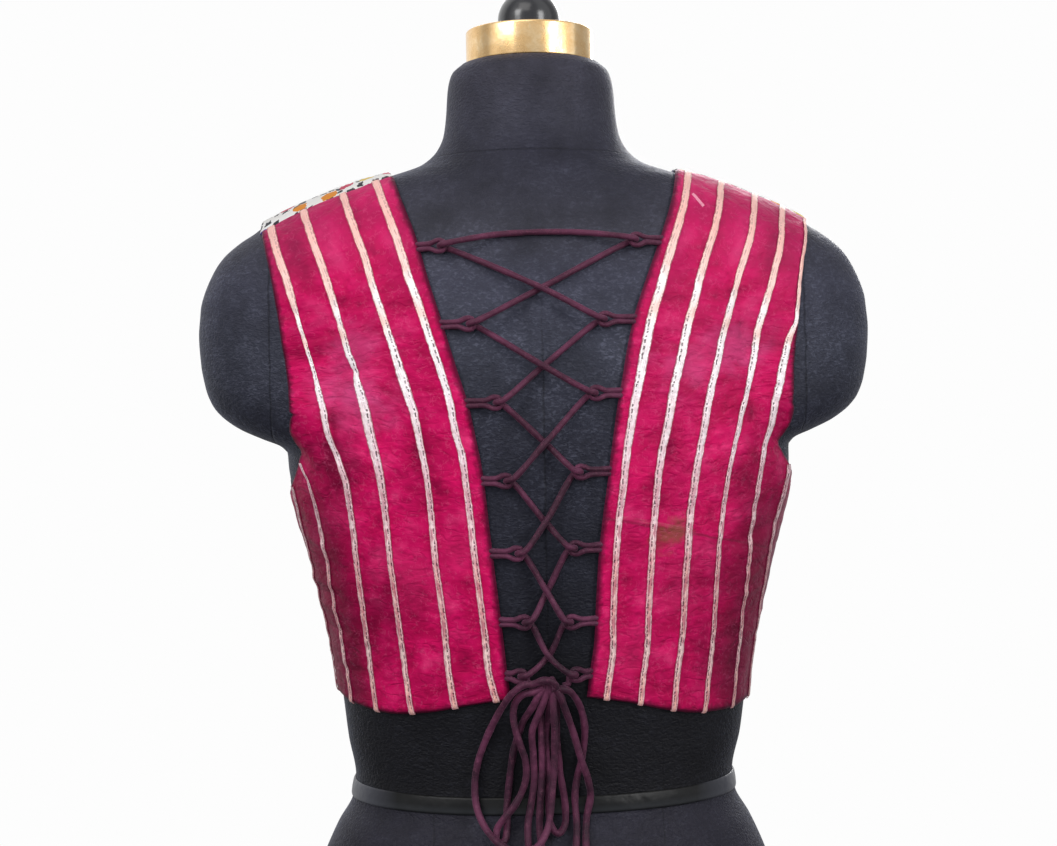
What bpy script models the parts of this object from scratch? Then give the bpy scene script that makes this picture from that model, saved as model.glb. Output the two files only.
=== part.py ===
"""A sleeveless choli blouse, laced down its open back, on a limbless dress form.

Metres, +Z up.  The laced back faces -Y and the printed front faces +Y.  The wearer's
right is +X.  The form stands on its flat underside at Z = 0, with its axis on X = Y = 0.
Tables are in millimetres, and each column has a name.
"""
import bisect
import math
from collections import namedtuple

import bmesh
import bpy
from mathutils import Matrix, Vector
from mathutils.bvhtree import BVHTree

MM = 0.001
LEFT, RIGHT = -1, 1
BACK, FRONT = -1, 1
SIDE_NAMES = {LEFT: "left", RIGHT: "right"}

# ---------------------------------------------------------------- cloth and cord sizes

WALL = 1.5 * MM              # cloth wall
EASE = 1.8 * MM              # the cloth's inner face above the form
SEAM_GAP = 0.3 * MM          # between two pieces at a seam
RIBBON_WIDTH = 5.6 * MM      # a narrow woven metallic ribbon
RIBBON_WALL = 1.0 * MM
RIBBON_LIFT = 0.9 * MM       # a ribbon's underside above the cloth's outer face
RIBBON_INSET = 0.8           # a ribbon's edge from the armhole's edge, in millimetres
LOOP_DIAMETER = 2.6 * MM
LOOP_HALF_GAP = 2.3 * MM     # half the distance between a loop's two strands
LOOP_HOLE = 4.2 * MM         # radius of the centre line round the lace
LOOP_NECK = 5.7 * MM         # from the eye's centre to where the two strands run side by side
LOOP_EYE_TURNS = (72, 126, 180, 234, 288)
LACE_DIAMETER = 4.2 * MM
LACE_REST = 2.6 * MM         # a lace's centre above the form where it lies on it
LOOP_RISE = 6.6 * MM         # a loop's tip above the form
LAYER = 4.7 * MM             # one lace on top of another
STEEPEST = 0.6               # the least slope of the back that a cord's rise is worked out for

# ---------------------------------------------------------------- the dress form

FORM_TOP = 562.0 * MM
FORM_COLUMNS = 52
CAP_CROWDING = 0.17           # how much closer the columns stand at the arm caps
FORM_RING_STEP = 21.2 * MM
TAPE_LOW, TAPE_HIGH = 82.0 * MM, 93.0 * MM
TAPE_WALL = 0.8 * MM

Section = namedtuple("Section", "height half_width back front squareness")
FORM_SECTIONS = [Section(*row) for row in (
    (0, 161, 106, 98, 2.25),
    (20, 154, 104, 98, 2.25),
    (42, 146, 100, 97, 2.25),
    (62, 137, 93, 95, 2.2),
    (80, 127, 85, 92, 2.15),
    (94, 125, 83, 91, 2.15),
    (120, 130, 84, 94, 2.15),
    (148, 133.5, 87, 99, 2.2),
    (180, 138, 91, 106, 2.2),
    (210, 144.5, 95, 114, 2.25),
    (240, 151.5, 98, 121, 2.3),
    (270, 160, 100, 124, 2.3),
    (300, 165.5, 101, 122, 2.35),
    (330, 166, 101, 114, 2.35),
    (360, 163, 100, 103, 2.3),
    (390, 162, 97, 91, 2.25),
    (415, 165, 92, 80, 2.15),
    (435, 170, 86, 71, 2.05),
    (447, 174, 82, 66, 1.95),
    (455, 172, 78, 63, 1.9),
    (463, 163, 74, 61, 1.9),
    (473, 142, 69, 58, 1.9),
    (483, 117, 64, 56, 1.9),
    (488, 97, 61.5, 55.5, 1.95),
    (496, 73.5, 58.5, 55, 2.0),
    (506, 62.7, 56, 54.5, 2.0),
    (516, 58.3, 55, 54, 2.0),
    (528, 56.5, 54.5, 54, 2.0),
    (546, 55, 54, 54, 2.0),
    (556, 52.5, 52, 52, 2.0),
    (562, 46, 46, 46, 2.0),
)]

# The form's centre line wanders a little to the right at the waist.
Lean = namedtuple("Lean", "height shift")
FORM_LEAN = [Lean(*row) for row in (
    (0, 0), (80, 0.8), (120, 2.0), (180, 2.5), (270, 2.4), (310, 1.2), (345, 0.8), (440, 0.6),
    (500, 0), (562, 0),
)]

Cap = namedtuple("Cap", "height reach")
ARM_CAP = [Cap(*row) for row in (
    (308, 0), (312, 4), (317, 16), (324, 31), (332, 42), (340, 49), (352, 55), (366, 58.5),
    (386, 60.3), (402, 58), (414, 53), (426, 45), (436, 35.5), (446, 20.5), (453, 11),
    (463, 4), (473, 2), (483, 0),
)]
CAP_SPREAD = math.radians(29)

Bust = namedtuple("Bust", "height spread angle width rise")
BUST = Bust(height=285, spread=34, angle=math.radians(146), width=math.radians(22), rise=7)

NECK_CAP_RADIUS = 42.3 * MM
NECK_CAP_HEIGHT = 22.5 * MM
KNOB_RADIUS = 20.8 * MM
KNOB_CENTRE = 592.0 * MM

# ---------------------------------------------------------------- the cut of the blouse

# A row's level is its height up to the pivot line.  Above it, the rows swing about that
# line, over the shoulder, and the level grows by SWING for each radian.
PIVOT = 335.0
SWING = 120.0
HEM_LEVEL = 146.0
HEM_FADE = 55.0              # height over which the hem's own curve dies out
SHOULDER_LEVEL = {LEFT: 492.0, RIGHT: 505.0}
BACK_COLUMNS = 13
FRONT_COLUMNS = 11
ROW_SWEEP = range(0, 104, 2)  # degrees round from the centre line that a level row is read at
ROW_REACH = range(0, 208, 2)  # distances out from the centre line that a swung row is read at
ROW_READINGS = 60             # readings between a row's two ends
STRAP_START = 4.0             # a row this close under the shoulder seam is left out
BACK_LEVELS = (146, 158, 176, 196, 216, 238, 260, 279, 284, 291, 301, 313, 326, 335,
               352, 370, 388, 406, 424, 441, 457, 470, 481, 493)

Opening = namedtuple("Opening", "level left right")
BACK_OPENING = [Opening(*row) for row in (
    (146, 22.5, 23.5), (165, 24.3, 25.3), (190, 26.6, 28.6), (215, 29.2, 30.0),
    (240, 32.0, 31.6), (265, 34.6, 34.5), (285, 36.6, 37.5), (300, 38.5, 39.6),
    (315, 41.3, 41.8), (335, 45.2, 44.9), (355, 50.0, 48.2), (375, 55.0, 51.4),
    (400, 61.5, 57.0), (425, 68.7, 66.0), (445, 74.4, 74.5), (460, 80.0, 81.0),
    (475, 85.8, 86.4), (505, 93.5, 93.0),
)]

# How far back of the form's widest line the panel's outer edge lies, below the pivot.
OuterBelow = namedtuple("OuterBelow", "level left right")
BACK_OUTER_BELOW = [OuterBelow(*row) for row in (
    (146, 0, 0), (279, 0, 0), (284, 21, 23), (289, 33, 36), (299, 44.5, 47), (305, 47, 51),
    (312, 51.5, 55), (326, 59, 59), (335, 63, 61),
)]

# Half the width between the armholes, above the pivot.
OuterAbove = namedtuple("OuterAbove", "level left right")
BACK_OUTER_ABOVE = [OuterAbove(*row) for row in (
    (335, 156.0, 159.0), (355, 156.8, 160.4), (375, 158.2, 160.8), (400, 160.4, 162.4),
    (425, 163.2, 165.2), (445, 166.2, 167.4), (460, 169.0, 170.0), (475, 172.6, 173.8),
    (505, 177.4, 178.4),
)]

Hem = namedtuple("Hem", "distance left right")
BACK_HEM = [Hem(*row) for row in (
    (0, 155.5, 155.5), (28, 151, 150.5), (52, 146.5, 144.5), (78, 144.5, 140.5),
    (105, 147, 140), (132, 151, 142.5), (165, 155, 146),
)]

# A ribbon's distance from the opening edge at each of these levels.  It runs from the
# hem to the shoulder seam, or ends where it meets the armhole, or follows the armhole.
RIBBON_LEVELS = (146, 175, 205, 240, 270, 290, 305, 325, 350, 380, 410, 440, 475)
RibbonLine = namedtuple("RibbonLine", "name distances follows")
RIBBONS = {
    LEFT: [RibbonLine(*row) for row in (
        ("a", (8.8, 11.2, 10.7, 11.0, 10.7, 10.8, 10.5, 11.6, 10.2, 9.9, 10.4, 11.4, 11.6), True),
        ("b", (34.2, 35.8, 35.0, 35.3, 34.5, 34.2, 34.2, 34.2, 34.7, 34.1, 34.0, 34.3, 34.2), True),
        ("c", (62.4, 64.2, 64.4, 64.4, 63.4, 63.7, 64.2, 65.2, 64.7, 63.2, 63.2, 63.2, 61.5), True),
        ("d", (88.8, 89.6, 89.3, 88.4, 87.3, 87.6, 91.5, 95.5, 94.3, 91.4, 89.3, 87.7, 85.0), True),
        ("e", (113.0, 113.9, 116.0, 115.9, 116.2, 119.2, 127.0) + (127.0,) * 6, False),
        ("f", (142.0, 142.2, 142.4, 142.6, 142.8) + (143.0,) * 8, False),
    )],
    RIGHT: [RibbonLine(*row) for row in (
        ("a", (12.0, 12.3, 10.6, 10.4, 10.0, 9.7, 9.5, 10.0, 10.5, 10.9, 10.7, 8.8, 8.2), True),
        ("b", (33.3, 33.6, 33.0, 32.8, 31.8, 31.0, 31.4, 33.1, 33.8, 34.8, 34.4, 31.8, 31.0), True),
        ("c", (55.8, 56.3, 56.3, 56.1, 55.2, 55.2, 56.2, 57.4, 58.4, 60.0, 59.2, 57.6, 54.7), True),
        ("d", (79.3, 79.8, 79.0, 78.3, 77.6, 77.9, 80.0, 82.8, 86.0, 87.2, 84.0, 80.2, 74.5), True),
        ("e", (105.0, 104.8, 104.2, 103.6, 101.8, 103.0, 103.6, 107.2, 107.2, 106.8, 105.2, 103.0, 98.0), True),
        ("f", (132.0, 131.8, 131.4, 130.4, 129.6, 131.0, 132.0) + (133.0,) * 6, False),
    )],
}

FRONT_LEVELS = (146, 160, 178, 198, 218, 238, 258, 279, 284, 292, 305, 320, 335, 350, 357,
                366, 378, 394, 412, 430, 448, 463, 474, 484, 493, 504, 518)
NECKLINE = [Opening(*row) for row in (
    (350, 0, 0), (353, 15, 15), (357, 27, 27), (366, 42, 42), (378, 53, 53),
    (394, 61, 61), (412, 67, 67), (430, 72, 72), (448, 77, 77), (466, 82, 82),
    (484, 86.5, 86.5), (502, 90.5, 90.5), (520, 93, 93), (542, 93, 93), (555, 91, 93),
)]
FRONT_OUTER_BELOW = [OuterBelow(*row) for row in (
    (146, 0, 0), (279, 0, 0), (284, 9, 17), (292, 16, 31), (300, 26, 41), (306, 38, 48),
    (312, 52, 53), (320, 60, 60), (335, 66.5, 66.5),
)]
FRONT_OUTER_ABOVE = [OuterAbove(*row) for row in (
    (335, 155.5, 155.5), (350, 152.5, 152.5), (378, 150.5, 150.5), (394, 151.5, 151.5),
    (412, 154, 154), (430, 157.5, 157.5), (448, 161.5, 161.5), (466, 166, 166),
    (484, 170, 170), (502, 174, 174), (520, 177, 178), (555, 176.8, 178.4),
)]
FRONT_HEM = [Hem(*row) for row in (
    (0, 148, 148), (60, 146, 146), (120, 148, 144), (200, 155, 146),
)]

# ---------------------------------------------------------------- folds in the cloth

# level and distance from the opening (or the centre front) of a fold's middle, its
# half length, half width and height, and its slant from upright in degrees.
Fold = namedtuple("Fold", "level distance length width height slant")
BACK_FOLDS = {
    LEFT: [Fold(*row) for row in (
        (388, 62, 26, 7, 0.9, -62),
        (372, 66, 24, 7, -0.7, -62),
        (412, 96, 16, 7, 0.9, -50),
        (318, 110, 30, 9, 1.6, 18),
        (300, 118, 24, 7, -0.8, 24),
        (342, 112, 26, 8, 2.2, 4),
        (230, 100, 46, 10, 0.9, 6),
        (214, 30, 18, 5, 0.5, 84),
        (180, 120, 16, 6, 0.7, 80),
        (152, 60, 9, 30, 0.8, 0),
    )],
    RIGHT: [Fold(*row) for row in (
        (352, 108, 34, 9, 2.4, -6),
        (288, 134, 20, 12, 3.2, 0),
        (318, 104, 26, 8, -0.7, -20),
        (300, 112, 24, 8, 1.6, -26),
        (384, 100, 24, 8, 1.0, 20),
        (410, 60, 18, 7, 0.7, 50),
        (262, 96, 34, 7, 0.8, 70),
        (244, 100, 30, 6, 0.7, 74),
        (226, 104, 28, 6, 0.7, 78),
        (198, 70, 22, 6, 0.5, 82),
        (150, 70, 9, 32, 0.8, 0),
    )],
}
FRONT_FOLDS = {
    LEFT: [Fold(*row) for row in (
        (296, 192, 20, 14, 4.4, 6), (322, 158, 20, 8, 1.2, 30), (250, 60, 40, 10, 1.0, 8),
        (205, 120, 34, 8, -0.7, -14), (360, 110, 26, 8, 0.9, 36),
    )],
    RIGHT: [Fold(*row) for row in (
        (302, 184, 22, 8, 2.2, -10), (326, 156, 20, 8, 1.2, -30), (230, 66, 44, 9, 0.9, -8),
        (200, 128, 30, 8, -0.7, 16), (372, 108, 24, 8, 0.9, -34),
    )],
}

# ---------------------------------------------------------------- loops, lace and bow

Loop = namedtuple("Loop", "side height tip")          # height and x of the tip
EDGE_LOOPS = [Loop(*row) for row in (
    (LEFT, 435.5, 62.0), (RIGHT, 437.7, 60.0), (LEFT, 386.4, 45.0), (RIGHT, 388.0, 38.4),
    (LEFT, 338.0, 29.6), (RIGHT, 342.8, 31.6), (LEFT, 290.4, 24.2), (RIGHT, 295.0, 21.6),
    (LEFT, 246.0, 18.0), (RIGHT, 248.5, 17.4), (LEFT, 203.5, 14.2), (RIGHT, 203.1, 14.6),
    (LEFT, 170.0, 17.2), (RIGHT, 170.2, 17.2),
)]

Crossing = namedtuple("Crossing", "x height over")    # which half of the lace is over
CROSSINGS = [Crossing(*row) for row in (
    (-0.2, 407.9, "left"), (0.0, 359.9, "right"), (0.2, 313.0, "right"),
    (-0.5, 264.8, "left"), (0.0, 221.8, "left"), (0.6, 182.0, "right"),
)]
# The top bar of the lace sags a little between the two top loops.
TOP_BAR = ((-30.0, 441.6, 4.4), (0.0, 443.2, 2.8), (28.0, 442.4, 4.0))

KNOT_HEIGHT = 163.5 * MM
KNOT_RISE = 9.0 * MM
KNOT_SIZE = Vector((16.0, 11.0, 9.0)) * MM
KNOT_ROUNDING = 2.0 * MM
# How the lace comes to the knot: out from its side, up and rise, in millimetres.
KNOT_ENTRY = ((4.4, 1.0, -4.0), (1.0, 0.0, -3.4))

# x, height and layer of each point that a bow cord hangs through, from the knot on.
BowPoint = namedtuple("BowPoint", "x height layer")
BOW_CORDS = {
    "bow_loop_large": (
        (-8.8, 165.8, 2.3), (-15.5, 165.4, 2.3), (-22.5, 160.4, 2.2), (-29.0, 150.6, 1.4),
        (-37.0, 134.3, 0.4), (-44.1, 115.1, 0.3), (-46.2, 99.9, 0.5), (-44.6, 86.0, 1.0),
        (-38.9, 75.4, 1.7), (-29.0, 67.6, 2.4), (-19.1, 65.0, 2.8), (-10.1, 67.6, 2.9),
        (-3.6, 75.2, 2.9), (-0.6, 84.8, 2.8), (0.6, 95.8, 2.7), (2.0, 108.0, 2.3),
        (2.8, 122.2, 2.2), (3.0, 137.5, 2.2), (2.6, 150.0, 2.2), (2.25, 158.2, 2.0),
    ),
    "bow_loop_left": (
        (-8.8, 161.0, 2.0), (-15.2, 159.6, 1.8), (-20.0, 154.8, 1.3), (-21.8, 148.0, 1.2),
        (-21.0, 138.0, 1.4), (-17.8, 127.2, 1.5), (-14.8, 117.3, 1.4), (-14.6, 107.4, 1.4),
        (-17.4, 98.4, 1.5), (-22.4, 89.8, 1.7), (-28.6, 82.6, 1.6), (-33.2, 75.4, 1.0),
        (-33.0, 68.2, 0.6), (-28.6, 68.6, 0.3), (-26.8, 77.0, 0.3), (-26.6, 88.0, 0.3),
        (-25.2, 100.0, 0.1), (-23.2, 115.1, 0.1), (-20.6, 127.0, 0.1), (-15.6, 141.7, 0.6),
        (-9.6, 152.0, 1.6), (-6.75, 158.2, 2.0),
    ),
    "bow_loop_centre": (
        (-2.25, 158.2, 2.0), (-4.8, 150.5, 1.8), (-10.4, 136.3, 1.5), (-9.9, 121.0, 1.4),
        (-9.7, 105.0, 1.4), (-11.6, 92.0, 1.5), (-14.2, 78.0, 1.4), (-13.8, 64.0, 1.0),
        (-11.4, 52.0, 0.6), (-7.2, 49.6, 0.4), (-5.6, 60.0, 0.5), (-7.0, 75.0, 1.2),
        (-6.2, 92.2, 1.6), (-4.6, 111.1, 1.3), (-4.6, 130.1, 1.2), (-5.0, 146.8, 0.7),
        (-4.6, 158.2, 1.0),
    ),
    "bow_loop_small": (
        (0.0, 158.2, 1.0), (0.2, 146.7, 0.7), (-1.6, 134.6, 0.1), (-1.4, 118.6, 0.1),
        (-0.6, 103.4, 0.3), (-0.8, 88.4, 0.6), (0.2, 77.4, 0.7), (4.4, 72.4, 0.6),
        (8.6, 76.8, 0.5), (9.4, 88.1, 0.5), (6.8, 108.0, 0.5), (4.8, 129.8, 0.7),
        (4.8, 146.0, 0.9), (4.6, 158.2, 1.0),
    ),
    "lace_end_over": (
        (6.75, 158.2, 2.0), (9.0, 152.0, 1.8), (15.0, 134.0, 1.4), (19.4, 117.8, 1.4),
        (23.2, 106.2, 1.2), (25.2, 94.8, 0.9), (22.4, 80.4, 0.6), (21.4, 65.8, 0.3),
        (22.0, 48.0, 0.1), (24.0, 32.0, 0.1), (24.5, 18.0, 0.1),
    ),
    "lace_end_under": (
        (8.8, 162.0, 1.9), (11.6, 161.4, 1.8), (14.8, 158.4, 1.5), (19.8, 149.0, 0.4), (22.4, 136.0, 0.1),
        (20.6, 117.7, 0.1), (17.6, 106.5, 0.1), (15.6, 93.0, 0.3), (16.2, 77.2, 0.4),
        (15.0, 62.0, 0.2), (13.2, 46.0, 0.1), (13.8, 33.0, 0.1),
    ),
}

# ---------------------------------------------------------------- finishes

Finish = namedtuple("Finish", "colour roughness metallic")
FINISHES = {
    "crimson_silk": Finish((0.52, 0.010, 0.095), 0.62, 0.0),
    "printed_cotton": Finish((0.78, 0.72, 0.66), 0.85, 0.0),
    "metallic_ribbon": Finish((0.80, 0.62, 0.55), 0.35, 0.6),
    "maroon_cord": Finish((0.085, 0.012, 0.025), 0.75, 0.0),
    "charcoal_jersey": Finish((0.022, 0.022, 0.028), 0.85, 0.0),
    "black_tape": Finish((0.012, 0.012, 0.014), 0.25, 0.0),
    "aged_brass": Finish((0.60, 0.40, 0.16), 0.30, 1.0),
    "black_gloss": Finish((0.010, 0.010, 0.012), 0.12, 0.0),
}


# ================================================================ small tools

def smooth_column(rows, key, column):
    """A function that runs smoothly through one column of a table, with no overshoot."""
    xs = [getattr(row, key) for row in rows]
    ys = [getattr(row, column) for row in rows]
    steps = [b - a for a, b in zip(xs, xs[1:])]
    slopes = [(b - a) / step for a, b, step in zip(ys, ys[1:], steps)]
    inner = [0.0 if a * b <= 0 else 2 * a * b / (a + b) for a, b in zip(slopes, slopes[1:])]
    tangents = [slopes[0]] + inner + [slopes[-1]]

    def value(x):
        if x <= xs[0]:
            return ys[0]
        if x >= xs[-1]:
            return ys[-1]
        i = bisect.bisect_right(xs, x) - 1
        t = (x - xs[i]) / steps[i]
        start = ys[i] * (1 + 2 * t) * (1 - t) ** 2 + tangents[i] * steps[i] * t * (1 - t) ** 2
        end = ys[i + 1] * t * t * (3 - 2 * t) + tangents[i + 1] * steps[i] * t * t * (t - 1)
        return start + end
    return value


def material(name):
    """The Principled material of one finish."""
    found = bpy.data.materials.get(name)
    if found:
        return found
    finish = FINISHES[name]
    made = bpy.data.materials.new(name)
    made.use_nodes = True
    shader = made.node_tree.nodes["Principled BSDF"]
    shader.inputs["Base Color"].default_value = (*finish.colour, 1)
    shader.inputs["Roughness"].default_value = finish.roughness
    shader.inputs["Metallic"].default_value = finish.metallic
    return made


def add_object(name, data, finish, collection):
    """One named object in the part's collection."""
    obj = bpy.data.objects.new(name, data)
    data.materials.append(material(finish))
    collection.objects.link(obj)
    return obj


def grid_faces(rows, columns, around=False):
    """The quads of a grid of points, kept row by row."""
    faces = []
    for i in range(rows - 1):
        for j in range(columns if around else columns - 1):
            k = (j + 1) % columns
            faces.append((i * columns + j, i * columns + k, (i + 1) * columns + k, (i + 1) * columns + j))
    return faces


def mesh_from(name, points, faces):
    mesh = bpy.data.meshes.new(name)
    mesh.from_pydata(points, [], faces)
    mesh.update()
    return mesh


def add_wall(obj, thickness):
    """Gives an open surface its thickness, outwards."""
    solid = obj.modifiers.new("wall", "SOLIDIFY")
    solid.thickness = thickness
    solid.offset = 1.0
    solid.use_even_offset = False


def through_points(points, step):
    """A smooth curve through hand-placed points, read off at about one step apart."""
    ends = [points[0] * 2 - points[1]] + list(points) + [points[-1] * 2 - points[-2]]
    read = []
    for before, start, end, after in zip(ends, ends[1:], ends[2:], ends[3:]):
        span = (end - start).length
        count = max(1, round(span / step))
        knots = [0.0]
        for a, b in ((before, start), (start, end), (end, after)):
            knots.append(knots[-1] + max((b - a).length, 1e-6) ** 0.5)
        for i in range(count):
            t = knots[1] + (knots[2] - knots[1]) * i / count
            read.append(spline_point((before, start, end, after), knots, t))
    read.append(points[-1].copy())
    return read


def spline_point(points, knots, t):
    """A centripetal Catmull-Rom point between the second and the third of four points."""
    layer = list(points)
    for order in (1, 2):
        layer = [
            layer[i].lerp(layer[i + 1], (t - knots[i]) / (knots[i + order] - knots[i]))
            for i in range(len(layer) - 1)
        ]
    return layer[0].lerp(layer[1], (t - knots[1]) / (knots[2] - knots[1]))


def add_cord(name, points, diameter, finish, collection):
    """A round cord along a row of points, closed at both ends."""
    curve = bpy.data.curves.new(name, "CURVE")
    curve.dimensions = "3D"
    curve.bevel_depth = diameter / 2
    curve.bevel_resolution = 2
    curve.use_fill_caps = True
    spline = curve.splines.new("POLY")
    spline.points.add(len(points) - 1)
    for target, point in zip(spline.points, points):
        target.co = (*point, 1)
    return add_object(name, curve, finish, collection)


# ================================================================ the form's skin

half_width = smooth_column(FORM_SECTIONS, "height", "half_width")
back_depth = smooth_column(FORM_SECTIONS, "height", "back")
front_depth = smooth_column(FORM_SECTIONS, "height", "front")
squareness = smooth_column(FORM_SECTIONS, "height", "squareness")
form_lean = smooth_column(FORM_LEAN, "height", "shift")
cap_reach = smooth_column(ARM_CAP, "height", "reach")


def skin(angle, height):
    """A point of the form's skin.  Angle 0 is the centre back, and it grows towards +X."""
    level = height / MM
    across, along = math.sin(angle), math.cos(angle)
    depth = back_depth(level) if along > 0 else front_depth(level)
    power = squareness(level)
    reach = (abs(across / half_width(level)) ** power + abs(along / depth) ** power) ** (-1 / power)
    turn = abs(math.atan2(across, along))
    from_side = (turn - math.pi / 2) / CAP_SPREAD
    if abs(from_side) < 1:
        reach += cap_reach(level) * (1 - from_side ** 2) ** 1.6
    from_bust = (turn - BUST.angle) / BUST.width
    above_bust = (level - BUST.height) / BUST.spread
    reach += BUST.rise * math.exp(-from_bust ** 2 - above_bust ** 2)
    return Vector(((reach * across + form_lean(level)) * MM, -reach * along * MM, height))


def even_steps(outline, step):
    """Places along an outline, about one step apart, as (index, fraction) pairs."""
    lengths = [0.0]
    for a, b in zip(outline, outline[1:]):
        lengths.append(lengths[-1] + (b - a).length)
    count = round(lengths[-1] / step)
    places = []
    for k in range(count + 1):
        wanted = lengths[-1] * k / count
        i = min(bisect.bisect_right(lengths, wanted), len(lengths) - 1) - 1
        places.append(i + (wanted - lengths[i]) / (lengths[i + 1] - lengths[i]))
    return places


def ring_heights():
    """Heights of the form's rings: even steps along its side, and both edges of the tape."""
    outline = [skin(math.pi / 2, i * MM) for i in range(round(FORM_TOP / MM) + 1)]
    heights = [place * MM for place in even_steps(outline, FORM_RING_STEP)]
    tape = (TAPE_LOW, TAPE_HIGH)
    clear = 0.6 * (TAPE_HIGH - TAPE_LOW)
    heights = [h for h in heights if min(abs(h - edge) for edge in tape) > clear]
    return sorted(heights + list(tape))


def ring_angles():
    """Angles of the form's columns, which stand closer together at the arm caps."""
    turns = [2 * math.pi * k / FORM_COLUMNS for k in range(FORM_COLUMNS)]
    return [turn + CAP_CROWDING * math.sin(2 * turn) for turn in turns]


def add_form(collection):
    """The torso with its arm caps: one closed skin with a flat base and a flat neck top."""
    angles = ring_angles()
    heights = ring_heights()
    points = [skin(angle, height) for height in heights for angle in angles]
    faces = grid_faces(len(heights), len(angles), around=True)
    faces.append(tuple(reversed(range(len(angles)))))
    faces.append(tuple(range(len(points) - len(angles), len(points))))
    return add_object("form_body", mesh_from("form_body", points, faces), "charcoal_jersey", collection)


def skin_tree(angles, heights):
    points = [skin(angle, height) for height in heights for angle in angles]
    return BVHTree.FromPolygons(points, grid_faces(len(heights), len(angles), around=True))


def fine_tree():
    columns, rows = 288, 380
    return skin_tree([2 * math.pi * j / columns for j in range(columns)],
                     [FORM_TOP * i / (rows - 1) for i in range(rows)])


SKINS = (fine_tree(), skin_tree(ring_angles(), ring_heights()))


def on_skin(start, towards, from_outside=False):
    """The outermost point that a ray meets on the smooth skin or the form's own facets."""
    hits = [tree.ray_cast(start, towards) for tree in SKINS]
    if any(point is None for point, normal, face, distance in hits):
        return None
    outermost = min if from_outside else max
    point = outermost(hits, key=lambda hit: hit[3])[0]
    smooth_normal = hits[0][1]
    return point, smooth_normal


def on_back(x, height, rise):
    """The point with this x and height that is this far above the form's back."""
    behind = Vector((x, -1, height))
    point, normal = on_skin(behind, Vector((0, 1, 0)), from_outside=True)
    return point - Vector((0, rise / max(-normal.y, STEEPEST), 0))


def add_tape(collection):
    """The tape in the waist seam: a thin band round the form."""
    angles = ring_angles()
    points = []
    for height in (TAPE_LOW, TAPE_HIGH):
        for angle in angles:
            point = skin(angle, height)
            points.append(point + Vector((point.x, point.y, 0)).normalized() * SEAM_GAP)
    band = add_object("waist_tape", mesh_from("waist_tape", points, grid_faces(2, len(angles), around=True)),
                      "black_tape", collection)
    add_wall(band, TAPE_WALL)
    return band


def add_turned(name, outline, finish, collection, steps):
    """A turned piece from its outline, radius and height, from the top of its axis down."""
    points = [Vector((radius, 0, height)) for radius, height in outline]
    edges = [(i, i + 1) for i in range(len(points) - 1)]
    mesh = bpy.data.meshes.new(name)
    mesh.from_pydata(points, edges, [])
    obj = add_object(name, mesh, finish, collection)
    screw = obj.modifiers.new("turn", "SCREW")
    screw.steps = steps
    screw.render_steps = steps
    screw.use_merge_vertices = True
    screw.merge_threshold = 0.00001
    return obj


def add_neck_fittings(collection):
    """The brass cap on the neck, and the knob on the cap."""
    low = FORM_TOP + SEAM_GAP
    high = low + NECK_CAP_HEIGHT
    edge = 1.5 * MM
    cap_outline = (
        (0, high), (NECK_CAP_RADIUS - edge, high), (NECK_CAP_RADIUS - 0.4 * edge, high - 0.4 * edge),
        (NECK_CAP_RADIUS, high - edge), (NECK_CAP_RADIUS, low + edge),
        (NECK_CAP_RADIUS - edge, low), (0, low),
    )
    add_turned("neck_cap", cap_outline, "aged_brass", collection, 32)
    foot = high + SEAM_GAP
    dome = [
        (KNOB_RADIUS * math.sin(turn), KNOB_CENTRE + KNOB_RADIUS * math.cos(turn))
        for turn in (math.radians(15 * k) for k in range(7))
    ]
    knob_outline = dome + [(KNOB_RADIUS, foot), (0, foot)]
    add_turned("neck_knob", knob_outline, "black_gloss", collection, 20)


# ================================================================ the panels

def row_curve(level, side, face):
    """The skin along one row, outwards from the centre line, as points and normals."""
    found = []
    if level <= PIVOT:
        for degrees in ROW_SWEEP:
            turn = math.radians(degrees)
            towards = Vector((side * math.sin(turn), face * math.cos(turn), 0))
            found.append(on_skin(Vector((0, 0, level * MM)), towards))
    else:
        swing = (level - PIVOT) / SWING
        towards = Vector((0, face * math.cos(swing), math.sin(swing)))
        for out in ROW_REACH:
            hit = on_skin(Vector((side * out * MM, 0, PIVOT * MM)), towards)
            if hit:
                found.append(hit)
    return found


def place_on(curve, measure, value):
    """Where a row first reaches a value of some measure, as index and fraction."""
    for i in range(len(curve) - 1):
        low, high = measure(curve[i][0]), measure(curve[i + 1][0])
        if low <= value <= high and high > low:
            return i + (value - low) / (high - low)
    return float(len(curve) - 1)


def point_at(curve, place):
    i = min(int(place), len(curve) - 2)
    part = place - i
    return curve[i][0].lerp(curve[i + 1][0], part), curve[i][1].lerp(curve[i + 1][1], part).normalized()


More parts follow.
